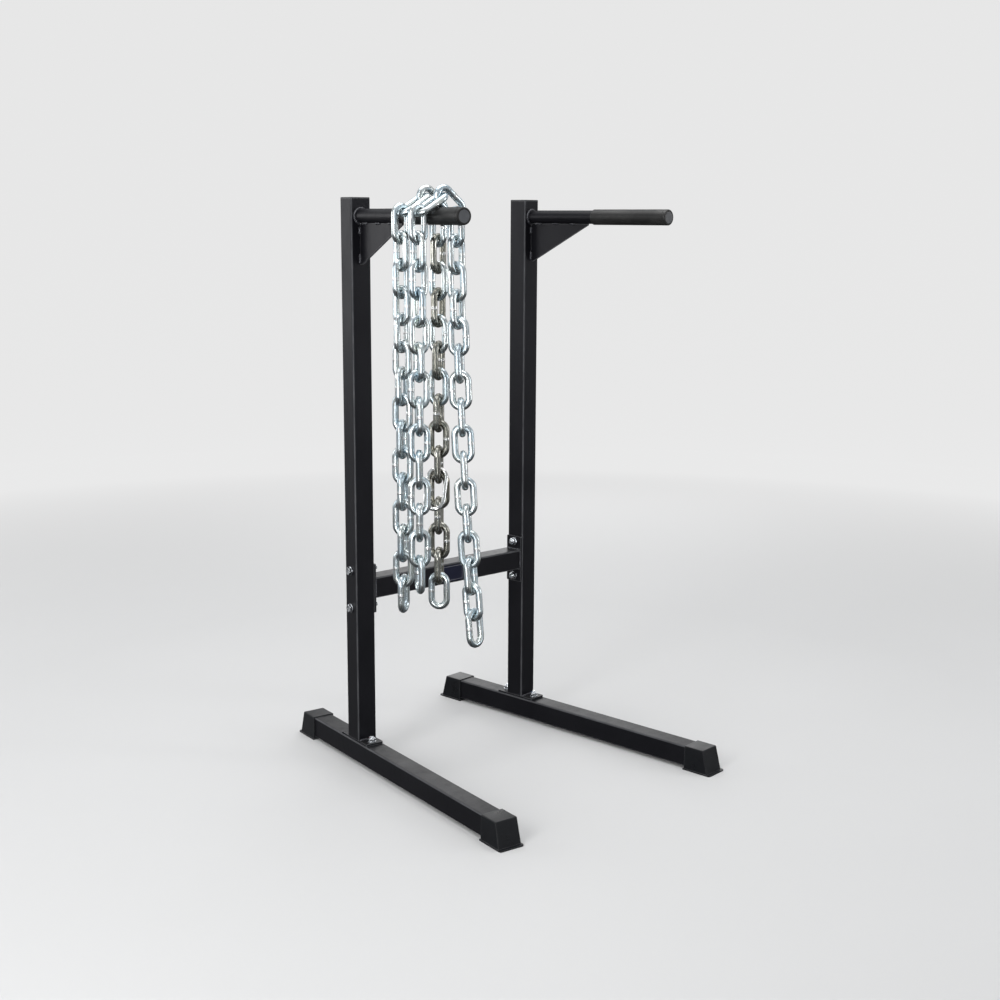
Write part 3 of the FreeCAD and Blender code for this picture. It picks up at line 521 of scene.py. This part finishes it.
def link_path():
    """Points and headings in degrees round a link, from the middle of its weld leg upwards."""
    stations = []

    def leg(side, low, high, steps, heading):
        for i in range(steps):
            stations.append((Vector((side * LINK_BEND, 0, low + (high - low) * i / steps)), heading))

    def bend(first, height):
        for i in range(BEND_STEPS):
            turn = first + 180 * i / BEND_STEPS
            angle = math.radians(turn)
            middle = Vector((LINK_BEND * math.cos(angle), 0, height + LINK_BEND * math.sin(angle)))
            stations.append((middle, 90 + turn))

    leg(1, 0, LINK_STRAIGHT, LEG_STEPS, 90)
    bend(0, LINK_STRAIGHT)
    leg(-1, LINK_STRAIGHT, -LINK_STRAIGHT, 2 * LEG_STEPS, 270)
    bend(180, -LINK_STRAIGHT)
    leg(1, -LINK_STRAIGHT, 0, LEG_STEPS, 90)
    return stations


LINK_PATH = link_path()
WELD_RIDGE = 0.42 * MM
WELD_HALF = 2.6 * MM
RIDGE_OFFSET = 1.5 * MM
RIDGE_WIDTH = 0.75 * MM
BRIGHT_HALF = 3.2 * MM
DEEPEST_DENT = 0.1 * MM


def weld_height(offset, angle, phase):
    """Extra radius of the butt weld: two rolled ridges with a groove between them."""
    ridge = math.exp(-((abs(offset) - RIDGE_OFFSET) / RIDGE_WIDTH) ** 2)
    body = math.exp(-(offset / WELD_HALF) ** 4)
    ripple = 0.16 * math.sin(5 * angle + phase) + 0.1 * math.sin(11 * angle - phase)
    return WELD_RIDGE * (0.45 * body + 0.55 * ridge) * (1 + ripple)


def add_link(builder, place, rng, kind):
    """One welded link with its own small unevenness.

    Its points carry weld (bright rubbed zone), tone (darkness of the link) and streak (lines along the wire).
    """
    phase = rng.uniform(0, TAU)
    tone = rng.random() ** 2
    dent = rng.uniform(0.0, 1.0) * DEEPEST_DENT
    lines = [(rng.uniform(0, TAU), rng.uniform(0, TAU)) for _ in range(ROUND_STEPS)]
    rows = []
    for middle, heading in LINK_PATH:
        turn = math.radians(heading)
        outward = Vector((math.sin(turn), 0, -math.cos(turn)))
        at_weld = middle.x > 0 and abs(middle.z) < LINK_STRAIGHT
        row = []
        for j in range(ROUND_STEPS):
            angle = TAU * j / ROUND_STEPS
            radius = WIRE_RADIUS - dent * (0.5 + 0.5 * math.sin(3 * angle + phase + 40 * middle.z))
            weld = 0.0
            if at_weld:
                radius += weld_height(middle.z, angle, phase)
                weld = math.exp(-(middle.z / BRIGHT_HALF) ** 4)
            side = outward * math.cos(angle) + Vector((0, 1, 0)) * math.sin(angle)
            start, drift = lines[j]
            streak = 0.5 + 0.5 * math.sin(start + 1.6 * math.sin(turn + 55 * middle.z + drift))
            row.append(builder.point(place @ (middle + side * radius), weld=weld, tone=tone, streak=streak))
        rows.append(row)
    builder.grid(rows, closed_along=True, kind=kind)


def body_of_node(node):
    return next(name for name, nodes in frame["record"]["behaviour"]["bodies"].items() if node in nodes)


DULL_LEVEL = 850 * MM
# Along the camera's heading: dull-strand links that face this way take the bright zinc, a painted reflection.
PAINTED_BRIGHT_FACING = Vector((0.66, 0.75, 0))


def is_painted_bright(place):
    """In the upper part of the dull strand the links that face this way, along the camera's heading, take the
    bright zinc as a painted reflection: every second one.
    """
    return place.translation.z > DULL_LEVEL and abs(place.col[1].xyz.dot(PAINTED_BRIGHT_FACING)) > 0.6


def chain_pieces():
    """Every chain node is replaced by links of the same place and size."""
    for seed, node in enumerate(sorted(frame["nodes"])):
        if not node.endswith(("_link", "_links")):
            continue
        rng = random.Random(seed)
        builder = Builder()
        dull = node.startswith("rear_inner") and not node.endswith("end_link")
        for solid in solids_of(node):
            place = link_frame(solid)
            # Dull-strand links facing the camera's heading take the second, bright zinc: a painted
            # reflection.
            add_link(builder, place, rng, int(dull and is_painted_bright(place)))
        slot = "dark_chain" if node.startswith("rear_inner") else "zinc_chain"
        first = DARK_ZINC if dull else BRIGHT_ZINC
        piece = builder.make("chain_" + node, body_of_node(node), slot, first, BRIGHT_ZINC)
        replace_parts(piece, node)


chain_pieces()


# ---------------------------------------------------------------------------
# Welds on the frame
# ---------------------------------------------------------------------------

BEAD_ARC_STEPS = 12
SCALLOP = 0.26
BEAD_UNEVENNESS = 0.05
TACK_PITCH = 3.2 * MM
TACK_SPACING = 0.8 * MM
RING_PITCH = 3.6 * MM
RING_STEPS = 150
WELD_GAP = 0.4 * MM


def bead(builder, path, radius, pitch, closed=False, seed=0):
    """A weld bead: overlapping scallops along a path of (point, outward direction, sideways direction)."""
    rng = random.Random(seed)
    rows = []
    length = 0.0
    last = path[0][0]
    for index, (point, outward, sideways) in enumerate(path):
        length += (point - last).length
        last = point
        scallop = 1 + SCALLOP * abs(math.cos(math.pi * length / pitch))
        scallop += rng.uniform(-BEAD_UNEVENNESS, BEAD_UNEVENNESS)
        if not closed:
            end = min(index, len(path) - 1 - index) / 3
            scallop *= min(1.0, 0.35 + 0.65 * end)
        row = []
        for j in range(BEAD_ARC_STEPS + 1):
            angle = math.pi * (1 - j / BEAD_ARC_STEPS)
            reach = sideways * math.cos(angle) + outward * math.sin(angle)
            row.append(builder.point(point + reach * radius * scallop))
        rows.append(row)
    builder.grid(rows, closed_along=closed)
    if not closed:
        builder.face(*rows[0][::-1])
        builder.face(*rows[-1])


def straight_bead(builder, place, start, end, outward, radius, seed):
    """A bead between two points of a side's own axes."""
    start, end, outward = Vector(start), Vector(end), Vector(outward).normalized()
    along = (end - start).normalized()
    sideways = along.cross(outward)
    steps = max(8, int((end - start).length / TACK_SPACING))
    turn = place.to_3x3()
    path = [(place @ start.lerp(end, i / steps), turn @ outward, turn @ sideways) for i in range(steps + 1)]
    bead(builder, path, radius, TACK_PITCH, seed=seed)


def bar_ring(side):
    """The weld that runs round the dip bar on the face of the upright."""
    builder = Builder()
    place = SIDES[side]
    turn = place.to_3x3()
    path = []
    for i in range(RING_STEPS):
        angle = TAU * i / RING_STEPS
        radial = Vector((math.cos(angle), 0, math.sin(angle)))
        outward = (radial + Vector((0, -1, 0))).normalized()
        point = Vector((0, -TUBE / 2 - WELD_GAP, BAR_HEIGHT)) + radial * (BAR_RADIUS + 0.6 * MM)
        tangent = Vector((-math.sin(angle), 0, math.cos(angle)))
        path.append((place @ point, turn @ outward, turn @ tangent.cross(outward)))
    bead(builder, path, 2.9 * MM, RING_PITCH, closed=True, seed=side_sign(side))
    piece = builder.make(f"{side}_bar_weld_bead", "stand", "frame_paint", HIGHLIT_BEAD_PAINT)
    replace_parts(piece, f"{side}_bar_weld")


TACKS_ON_UPRIGHT = ((23 * MM, 42 * MM), (84 * MM, 107 * MM))
TACKS_UNDER_BAR = ((38 * MM, 60 * MM), (95 * MM, 114 * MM), (150 * MM, 166 * MM))


def gusset_tacks(side):
    """Short beads on both faces of the gusset, down the upright and along the bar."""
    builder = Builder()
    place = SIDES[side]
    for face in (-1, 1):
        x = face * (GUSSET / 2 + WELD_GAP)
        y = -TUBE / 2 - WELD_GAP
        for number, (top, bottom) in enumerate(TACKS_ON_UPRIGHT):
            straight_bead(builder, place, (x, y, BAR_HEIGHT - top), (x, y, BAR_HEIGHT - bottom),
                          (face, -1, 0), 3.3 * MM, number)
        for number, (near, far) in enumerate(TACKS_UNDER_BAR):
            z = BAR_HEIGHT - BAR_RADIUS - 0.1 * MM
            straight_bead(builder, place, (x, -near, z), (x, -far, z), (face, 0, -1), 2.6 * MM, 7 + number)
    builder.make(f"{side}_gusset_tacks", "stand", "frame_paint", HIGHLIT_BEAD_PAINT)


def foot_plate_weld(side):
    """Fillet beads round the bottom of the upright on its base plate."""
    builder = Builder()
    place = SIDES[side]
    half = TUBE / 2 + 0.2 * MM
    run = TUBE / 2 - 4.5 * MM
    z = PLATE_TOP + 0.2 * MM
    straight_bead(builder, place, (-run, -half, z), (run, -half, z), (0, -1, 1), 2.4 * MM, 21)
    straight_bead(builder, place, (run, half, z), (-run, half, z), (0, 1, 1), 2.4 * MM, 22)
    builder.make(f"{side}_foot_weld", "stand", "frame_paint", HIGHLIT_BEAD_PAINT)


def crossbar_weld(side):
    """Beads round the crossbar on its end plate."""
    builder = Builder()
    place = SIDES[side]
    inward = -side_sign(side)
    x = inward * (TUBE / 2 + PLATE + 0.2 * MM)
    run = PLATE_WIDTH / 2 - 3 * MM
    for level in (-1, 1):
        z = CROSSBAR_HEIGHT + level * (TUBE / 2 + 0.2 * MM)
        straight_bead(builder, place, (x, -run, z), (x, run, z), (inward, 0, level), 2.4 * MM, 31 + level)
    turn = side_sign(side) * SPLAY
    rise = TUBE / 2 - 4 * MM
    for depth, corner in zip((-1, 1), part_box("crossbar")):
        y = (corner.y - place.translation.y - x * math.sin(turn)) / math.cos(turn)
        straight_bead(builder, place, (x, y, CROSSBAR_HEIGHT - rise), (x, y, CROSSBAR_HEIGHT + rise),
                      (inward, depth, 0), 2.2 * MM, 35 + depth)
    builder.make(f"{side}_crossbar_weld", "stand", "frame_paint", HIGHLIT_BEAD_PAINT)


for side_name in SIDES:
    bar_ring(side_name)
    gusset_tacks(side_name)
    foot_plate_weld(side_name)
    crossbar_weld(side_name)


# ---------------------------------------------------------------------------
# Fasteners
# ---------------------------------------------------------------------------

WASHER = 2 * MM
NUT = 8.4 * MM
NUT_HEX = 6.4 * MM
COLLAR_RADIUS = 7.6 * MM
COLLAR_HOLE = 5.7 * MM
RING_HOLE = 4.6 * MM
HEAD = 6.4 * MM
WASHER_FACE = 0.5 * MM
HEX_FACE = 0.97 * HEX_FLATS / 2
CHAMFER_SLOPE = 1.7
TAIL = 4 * MM
SHANK = BOLT_RADIUS - 0.4 * MM
THREAD_DEPTH = 0.55 * THREAD_PITCH
THREAD_LEAD = 1.1 * MM
THREAD_SEGMENTS = 36
ROWS_PER_PITCH = 7
HEX_SEGMENTS = 72


def hexagonal(chamfer_low, chamfer_high, low, high):
    """Radius function of a hexagon whose ends are turned to a cone."""
    flat = HEX_FLATS / 2

    def radius_at(radius, height, angle):
        sector = TAU / 6
        off = (angle + sector / 2) % sector - sector / 2
        hexagon = flat / math.cos(off)
        cone = math.inf
        if chamfer_low:
            cone = min(cone, HEX_FACE + (height - low) * CHAMFER_SLOPE)
        if chamfer_high:
            cone = min(cone, HEX_FACE + (high - height) * CHAMFER_SLOPE)
        return min(hexagon, cone, radius)

    return radius_at


def hex_rows(low, high):
    """Heights close together at both ends, where the chamfers are."""
    step = 0.14 * MM
    ends = [i * step for i in range(8)]
    return [low + e for e in ends] + [high - e for e in reversed(ends)]


def thread(builder, place, low, high):
    """A helical thread with a short lead-in at its upper end."""
    crest = BOLT_RADIUS - 0.05 * MM
    rows = []
    count = int((high - low) / (THREAD_PITCH / ROWS_PER_PITCH))
    for i in range(count + 1):
        height = low + (high - low) * i / count
        lead = max(0.0, 1 - (high - height) / THREAD_LEAD)
        row = []
        for j in range(THREAD_SEGMENTS):
            turn = height / THREAD_PITCH - j / THREAD_SEGMENTS
            wave = abs((turn % 1) * 2 - 1)
            radius = crest - THREAD_DEPTH * (min(1.0, wave * 1.15) * (1 - lead) + lead)
            row.append(builder.point(place @ polar(radius, TAU * j / THREAD_SEGMENTS, height)))
        rows.append(row)
    builder.grid(rows)
    builder.cap(rows[0], place @ Vector((0, 0, low)), flip=True)
    builder.cap(rows[-1], place @ Vector((0, 0, high - 0.1 * MM)))


def add_washer(builder, place):
    """A flat ring with rounded outer edges; its profile closes on itself."""
    outer, inner, edge = 10.5 * MM, 5.3 * MM, 0.35 * MM
    profile = [(inner, edge), (inner + edge, 0)]
    profile += arc((outer - edge, edge), edge, -90, 0, 4)
    profile += arc((outer - edge, WASHER - edge), edge, 0, 90, 4)
    profile += [(inner + edge, WASHER), (inner, WASHER - edge), (inner, edge)]
    lathe(builder, place, profile, close_low=False, close_high=False)


def add_nut(builder, place):
    """A lock nut: chamfered hexagon, rolled collar and the nylon ring inside it."""
    rows = [(1.0, z) for z in hex_rows(0, NUT_HEX)]
    lathe(builder, place, rows, HEX_SEGMENTS, radius_at=hexagonal(True, True, 0, NUT_HEX))
    round_off = 1.3 * MM
    foot = NUT_HEX - 0.3 * MM
    collar = [(COLLAR_RADIUS, foot), (COLLAR_RADIUS, NUT - round_off)]
    collar += arc((COLLAR_RADIUS - round_off, NUT - round_off), round_off, 12, 90, 7)
    collar += [(COLLAR_HOLE + 0.2 * MM, NUT), (COLLAR_HOLE, NUT - 0.5 * MM), (COLLAR_HOLE, foot), collar[0]]
    lathe(builder, place, collar, close_low=False, close_high=False)
    ring_edge = COLLAR_HOLE + 0.05 * MM
    ring_foot = NUT - 1.6 * MM
    ring = [(ring_edge, NUT - 0.5 * MM), (5.2 * MM, NUT - 0.3 * MM), (RING_HOLE, NUT - 0.6 * MM),
            (RING_HOLE, ring_foot), (ring_edge, ring_foot), (ring_edge, NUT - 0.5 * MM)]
    lathe(builder, place, ring, kind=1, close_low=False, close_high=False)


def add_hex_head(builder, place):
    """A bolt head below its seat, with a shallow dished face and a round washer face."""
    rows = [(1.0, z) for z in hex_rows(-HEAD, -WASHER_FACE)]
    reshape = hexagonal(True, False, -HEAD, -WASHER_FACE)
    lathe(builder, place, rows, HEX_SEGMENTS, radius_at=reshape, close_low=False)
    dish = [(0.01 * MM, -HEAD + 0.3 * MM), (6.2 * MM, -HEAD + 0.25 * MM),
            (7.0 * MM, -HEAD), (HEX_FACE, -HEAD)]
    lathe(builder, place, dish, HEX_SEGMENTS, close_high=False)
    lathe(builder, place, [(8.1 * MM, -WASHER_FACE), (8.1 * MM, 0)])


def add_carriage_head(builder, place):
    """A shallow dome under its seat."""
    radius, height = 10 * MM, 5.2 * MM
    ball = (radius ** 2 + height ** 2) / (2 * height)
    span = math.degrees(math.asin(radius / ball))
    dome = arc((0, ball - height), ball, -90, -90 + span, 12)
    dome[0] = (0.02 * MM, dome[0][1])
    lathe(builder, place, dome + [(radius - 0.2 * MM, 0)])


def turned_to(point, axis):
    """A frame at a point with its Z along an axis."""
    return Matrix.Translation(point) @ axis.to_track_quat("Z", "Y").to_matrix().to_4x4()


def base_frames(height):
    """Frames on the two bolt axes of each foot."""
    return [SIDES[side] @ Matrix.Translation((0, along * BOLT_SPACING / 2, height))
            for side in SIDES for along in (-1, 1)]


def crossbar_frames(distance):
    """Frames on the crossbar bolt axes, Z inwards, at a distance from the upright's axis."""
    found = []
    for side in SIDES:
        inward = -side_sign(side)
        for level in (-1, 1):
            point = Vector((inward * distance, 0, CROSSBAR_HEIGHT + level * BOLT_SPACING / 2))
            found.append(SIDES[side] @ turned_to(point, Vector((inward, 0, 0))))
    return found


def fasteners():
    """Detailed fasteners in the places of the plain ones."""
    foot_bottom = PLATE_TOP - PLATE - TUBE
    inner_seat = TUBE / 2 + PLATE
    head_seat = -TUBE / 2 - WASHER
    groups = {
        "base_washers": (add_washer, base_frames(PLATE_TOP)),
        "base_nuts": (add_nut, base_frames(PLATE_TOP + WASHER)),
        "crossbar_washers": (add_washer, crossbar_frames(head_seat) + crossbar_frames(inner_seat)),
        "crossbar_nuts": (add_nut, crossbar_frames(inner_seat + WASHER)),
    }
    for node, (add, places) in groups.items():
        builder = Builder()
        for number, place in enumerate(places):
            add(builder, place @ Matrix.Rotation(0.4 * number, 4, "Z"))
        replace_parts(builder.make(node + "_detailed", "stand", "zinc_fastener", FASTENER, NYLON), node)
    base = Builder()
    reach = TUBE + PLATE + WASHER + NUT + TAIL
    for place in base_frames(foot_bottom):
        add_carriage_head(base, place)
        lathe(base, place, [(SHANK, 0), (SHANK, TUBE)])
        thread(base, place, TUBE, reach)
    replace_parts(base.make("base_bolts_detailed", "stand", "zinc_fastener", FASTENER), "base_bolts")
    cross = Builder()
    reach += WASHER
    for number, place in enumerate(crossbar_frames(head_seat)):
        place = place @ Matrix.Rotation(0.7 * number, 4, "Z")
        add_hex_head(cross, place)
        lathe(cross, place, [(SHANK, 0), (SHANK, TUBE)])
        thread(cross, place, TUBE, reach)
    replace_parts(cross.make("crossbar_bolts_detailed", "stand", "zinc_fastener", FASTENER), "crossbar_bolts")


fasteners()


# ---------------------------------------------------------------------------
# Grips
# ---------------------------------------------------------------------------

GRIP_RADIUS = 18.25 * MM
GRIP_START = 223 * MM
GRIP_END = 442 * MM
GRIP_ROUND = 3.6 * MM
GRIP_SEAM = GRIP_END - 9 * MM
GRIP_STEPS = 40
GRIP_SEGMENTS = 144
GRIP_END_BANDS = 2
PARTING_HEIGHT = 0.1 * MM
PARTING_WIDTH = 0.035


def grip_profile():
    """(radius, height) pairs: closed bore, mouth, sleeve, seam ring, rounded end and its dish."""
    bore = BAR_RADIUS + 0.05 * MM
    profile = [(bore, BAR_END), (bore, GRIP_START + 1.5 * MM), (BAR_RADIUS + 0.1 * MM, GRIP_START)]
    for inset, rise in ((1.3, 0), (0.25, 1.1), (0, 1.9)):
        profile.append((GRIP_RADIUS - inset * MM, GRIP_START + rise * MM))
    first, run = GRIP_START + 4 * MM, GRIP_SEAM - 6 * MM - GRIP_START
    profile += [(GRIP_RADIUS, first + run * i / GRIP_STEPS) for i in range(GRIP_STEPS + 1)]
    for inset, rise in ((0, -0.5), (0.45, -0.1), (0.5, 0.8), (0.45, 1.7), (0, 2.1)):
        profile.append((GRIP_RADIUS - inset * MM, GRIP_SEAM + rise * MM))
    profile += arc((GRIP_RADIUS - GRIP_ROUND, GRIP_END - GRIP_ROUND), GRIP_ROUND, 0, 90, 10)
    for inset, drop in ((4.1, 0), (4.6, 0.5), (5.0, 0.6), (12.25, 0.35), (18.2, 0.3)):
        profile.append((GRIP_RADIUS - inset * MM, GRIP_END - drop * MM))
    return profile


def with_parting_line(radius, _, angle):
    """A fine raised line along both sides of the mould."""
    if radius < GRIP_RADIUS - 0.3 * MM:
        return radius
    line = math.exp(-(math.sin(angle) / PARTING_WIDTH) ** 2)
    return radius - PARTING_HEIGHT * (1 - line)


def grip(side):
    """A moulded sleeve with a bevelled mouth, parting lines, a seam ring and a rounded, dished end."""
    builder = Builder()
    axis = SIDES[side] @ turned_to(Vector((0, 0, BAR_HEIGHT)), Vector((0, -1, 0)))
    lathe(builder, axis, grip_profile(), GRIP_SEGMENTS, radius_at=with_parting_line, end_bands=GRIP_END_BANDS)
    # The middle of the end face takes the lighter copy of the rubber: painted light.
    piece = builder.make(f"{side}_grip_sleeve", "stand", "grip_rubber", RUBBER, PAINTED_LIGHT_RUBBER_END)
    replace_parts(piece, f"{side}_grip")


for side_name in SIDES:
    grip(side_name)


# ---------------------------------------------------------------------------
# Label on the crossbar
# ---------------------------------------------------------------------------

LABEL_WIDTH = 77 * MM
LABEL_HEIGHT = 40 * MM
LABEL_CORNER = 2.5 * MM
LABEL_THICKNESS = 0.25 * MM
CORNER_STEPS = 6


def rounded_rectangle(width, height, corner):
    points = []
    for x, y, start in ((1, 1, 0), (-1, 1, 90), (-1, -1, 180), (1, -1, 270)):
        centre = (x * (width / 2 - corner), y * (height / 2 - corner))
        points += arc(centre, corner, start, start + 90, CORNER_STEPS)
    return points


def label():
    """A plain label with a thin light rule, on the front of the crossbar."""
    low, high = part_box("crossbar")
    middle = Vector(((low.x + high.x) / 2, low.y, (low.z + high.z) / 2))
    builder = Builder()

    def ring(inset, corner, depth):
        points = rounded_rectangle(LABEL_WIDTH - 2 * inset, LABEL_HEIGHT - 2 * inset, corner)
        return [builder.point(middle + Vector((x, -depth, z))) for x, z in points]

    back = ring(0, LABEL_CORNER, 0)
    front = ring(0, LABEL_CORNER, LABEL_THICKNESS)
    rule = ring(2.5 * MM, 1.5 * MM, LABEL_THICKNESS)
    field = ring(3 * MM, 1.2 * MM, LABEL_THICKNESS)
    builder.grid([back, front, rule])
    builder.grid([rule, field], kind=1)
    builder.cap(back, middle, flip=True)
    builder.cap(field, middle + Vector((0, -LABEL_THICKNESS, 0)))
    builder.make("crossbar_label", "stand", "frame_paint", LABEL, LABEL_RULE)


label()


# ---------------------------------------------------------------------------
# Finishes of the CAD nodes that stay
# ---------------------------------------------------------------------------

SLOT_FINISH = {
    "frame_paint": HIGHLIT_TUBE_PAINT,
    "cap_plastic": PLASTIC,
    "grip_rubber": RUBBER,
    "zinc_fastener": FASTENER,
    "zinc_chain": BRIGHT_ZINC,
    "dark_chain": DARK_ZINC,
    "polished_steel": POLISHED,
}

for part in frame["record"]["subparts"]:
    finish = SLOT_FINISH[part["material_slot"]]
    # Round bars keep the paint without the painted corner highlight.
    if finish is HIGHLIT_TUBE_PAINT and "bar" in part["node"].split("_"):
        finish = PAINT
    node = frame["nodes"][part["node"]]
    node.data.materials.clear()
    node.data.materials.append(finish)


# ---------------------------------------------------------------------------
# Studio
# ---------------------------------------------------------------------------

SHEET_SEGMENTS = 96
FLOOR_RADIUS = 5
COVE_RADIUS = 3
BACKDROP_TOP = 12
FADE_START = 1.5
FADE_END = 4.2
BACKDROP_GLOW = 0.79

# Heights of the world from straight down (0) to straight up (1), and how light it is there.
WORLD_LEVELS = [(0.0, 0.07), (0.3, 0.12), (0.39, 0.36), (0.48, 0.48), (0.6, 0.58), (0.8, 0.66), (1.0, 0.52)]
WORLD_CORNERS = 4
DARK_CORNER = math.radians(228.6)
OPEN_LEVEL = 1.12
CORNER_LEVEL = 0.42


def stage_piece(name, rows, material, is_floor):
    """A round sheet of the studio from rings of (radius, height); only the floor lights the object."""
    builder = Builder()
    rings = []
    for radius, height in rows:
        points = [polar(radius, TAU * j / SHEET_SEGMENTS, height) for j in range(SHEET_SEGMENTS)]
        rings.append([builder.point(point) for point in points])
    builder.grid(rings)
    if is_floor:
        builder.cap(rings[0], (0, 0, rows[0][1]), flip=True)
    sheet = link_object(name, builder.mesh(name, [material]))
    sheet.visible_glossy = False
    sheet.visible_diffuse = is_floor
    sheet.visible_shadow = is_floor


def studio_floor():
    """A pale floor that fades into a glowing backdrop, which curves up all round."""
    s = Surface("studio_floor", Specular_IOR_Level=0.2)
    cloud = s.noise(1.5, 4, 0.5)
    distance = s.node("ShaderNodeVectorMath", {0: s.place}, operation="LENGTH").outputs["Value"]
    far = s.spread(distance, FADE_START, FADE_END)
    glow = s.spread(distance, FADE_START, FADE_END, 0, BACKDROP_GLOW)
    s.colour(s.mix(far, s.mix(cloud, grey(0.62), grey(0.64)), grey(0.01)))
    s.roughness(s.spread(cloud, 0, 1, 0.7, 0.8))
    feed(s.tree, s.shader.inputs["Emission Strength"], glow)
    feed(s.tree, s.shader.inputs["Emission Color"], grey(1))
    stage_piece("studio_floor", [(0.5, 0), (1, 0), (2, 0), (FLOOR_RADIUS, 0)], s.material, True)
    cove = arc((FLOOR_RADIUS, COVE_RADIUS), COVE_RADIUS, -90, 0, 30)
    top = (FLOOR_RADIUS + COVE_RADIUS, BACKDROP_TOP)
    stage_piece("studio_backdrop", cove + [top], s.material, False)


def studio_world():
    """Light walls over a dark floor, with soft darker corners that show as streaks in bright metal."""
    world = bpy.data.worlds.new("studio")
    world.use_nodes = True
    tree = world.node_tree

    def add(kind, *inputs, **settings):
        return add_node(tree, kind, enumerate(inputs), **settings)

    split = add("ShaderNodeSeparateXYZ", add("ShaderNodeTexCoord").outputs["Generated"])
    lift = add("ShaderNodeMapRange", split.outputs["Z"], -1.0, 1.0, 0.0, 1.0)
    ramp = add("ShaderNodeValToRGB", lift.outputs[0])
    for position, _ in WORLD_LEVELS[1:-1]:
        ramp.color_ramp.elements.new(position)
    for element, (_, value) in zip(ramp.color_ramp.elements, WORLD_LEVELS):
        element.color = grey(value, (0.98, 1, 1.02))
    heading = add("ShaderNodeMath", split.outputs["Y"], split.outputs["X"], operation="ARCTAN2")
    turned = add("ShaderNodeMath", heading.outputs[0], -DARK_CORNER, operation="ADD")
    wave = add("ShaderNodeMath", turned.outputs[0], WORLD_CORNERS, operation="MULTIPLY")
    corners = add("ShaderNodeMath", wave.outputs[0], operation="COSINE")
    level = add("ShaderNodeMapRange", corners.outputs[0], -1.0, 1.0, OPEN_LEVEL, CORNER_LEVEL)
    background = tree.nodes["Background"]
    feed(tree, background.inputs["Color"], ramp.outputs[0])
    feed(tree, background.inputs["Strength"], level.outputs[0])
    bpy.context.scene.world = world


def soft_box(name, place, target, width, height, power):
    """A rectangular lamp that the camera doesn't see."""
    data = bpy.data.lights.new(name, "AREA")
    data.shape = "RECTANGLE"
    data.size = width
    data.size_y = height
    data.energy = power
    lamp = link_object(name, data)
    lamp.location = place
    lamp.rotation_euler = (Vector(target) - Vector(place)).to_track_quat("-Z", "Y").to_euler()
    lamp.visible_camera = False


# The camera fitted to the photograph: place, heading from +Y, dip below level, roll and lens.
CAMERA_PLACE = Vector((-2.2373, -2.569, 1.2881))
CAMERA_HEADING = math.radians(41.437)
CAMERA_DIP = math.radians(10.837)
CAMERA_ROLL = math.radians(0.286)
CAMERA_SENSOR = 36
CAMERA_LENS = 52.84


def camera():
    ahead = polar(math.cos(CAMERA_DIP), math.pi / 2 - CAMERA_HEADING, -math.sin(CAMERA_DIP))
    right = Vector((math.cos(CAMERA_HEADING), -math.sin(CAMERA_HEADING), 0))
    up = right.cross(ahead)
    x_axis = right * math.cos(CAMERA_ROLL) + up * math.sin(CAMERA_ROLL)
    y_axis = up * math.cos(CAMERA_ROLL) - right * math.sin(CAMERA_ROLL)
    data = bpy.data.cameras.new("camera")
    data.sensor_width = CAMERA_SENSOR
    data.lens = CAMERA_LENS
    eye = link_object("camera", data)
    turn = Matrix((x_axis, y_axis, -ahead)).transposed().to_4x4()
    eye.matrix_world = Matrix.Translation(CAMERA_PLACE) @ turn
    bpy.context.scene.camera = eye


studio_floor()
studio_world()
# name, place, target, width, height, power in watts
SOFT_BOXES = [
    ("key_left", (-3.0, -0.9, 1.7), (0, 0, 1.0), 1.0, 2.0, 40),
    ("front_low", (-2.5, -2.2, 0.45), (0, 0, 0.5), 0.5, 0.9, 14),
    ("strip_right", (2.2, -2.6, 1.4), (0, 0, 0.9), 0.5, 1.8, 20),
    ("wall_left", (-2.4, 3.0, 1.5), (-0.2, 0, 1.0), 2.0, 1.6, 26),
    ("wall_right", (2.6, 2.6, 1.3), (0, 0, 0.5), 2.0, 1.4, 18),
    ("overhead", (0.0, 0.2, 3.6), (0, 0, 0), 3.0, 3.0, 80),
]

for box_row in SOFT_BOXES:
    soft_box(*box_row)
camera()
bpy.context.scene.view_settings.view_transform = "Standard"
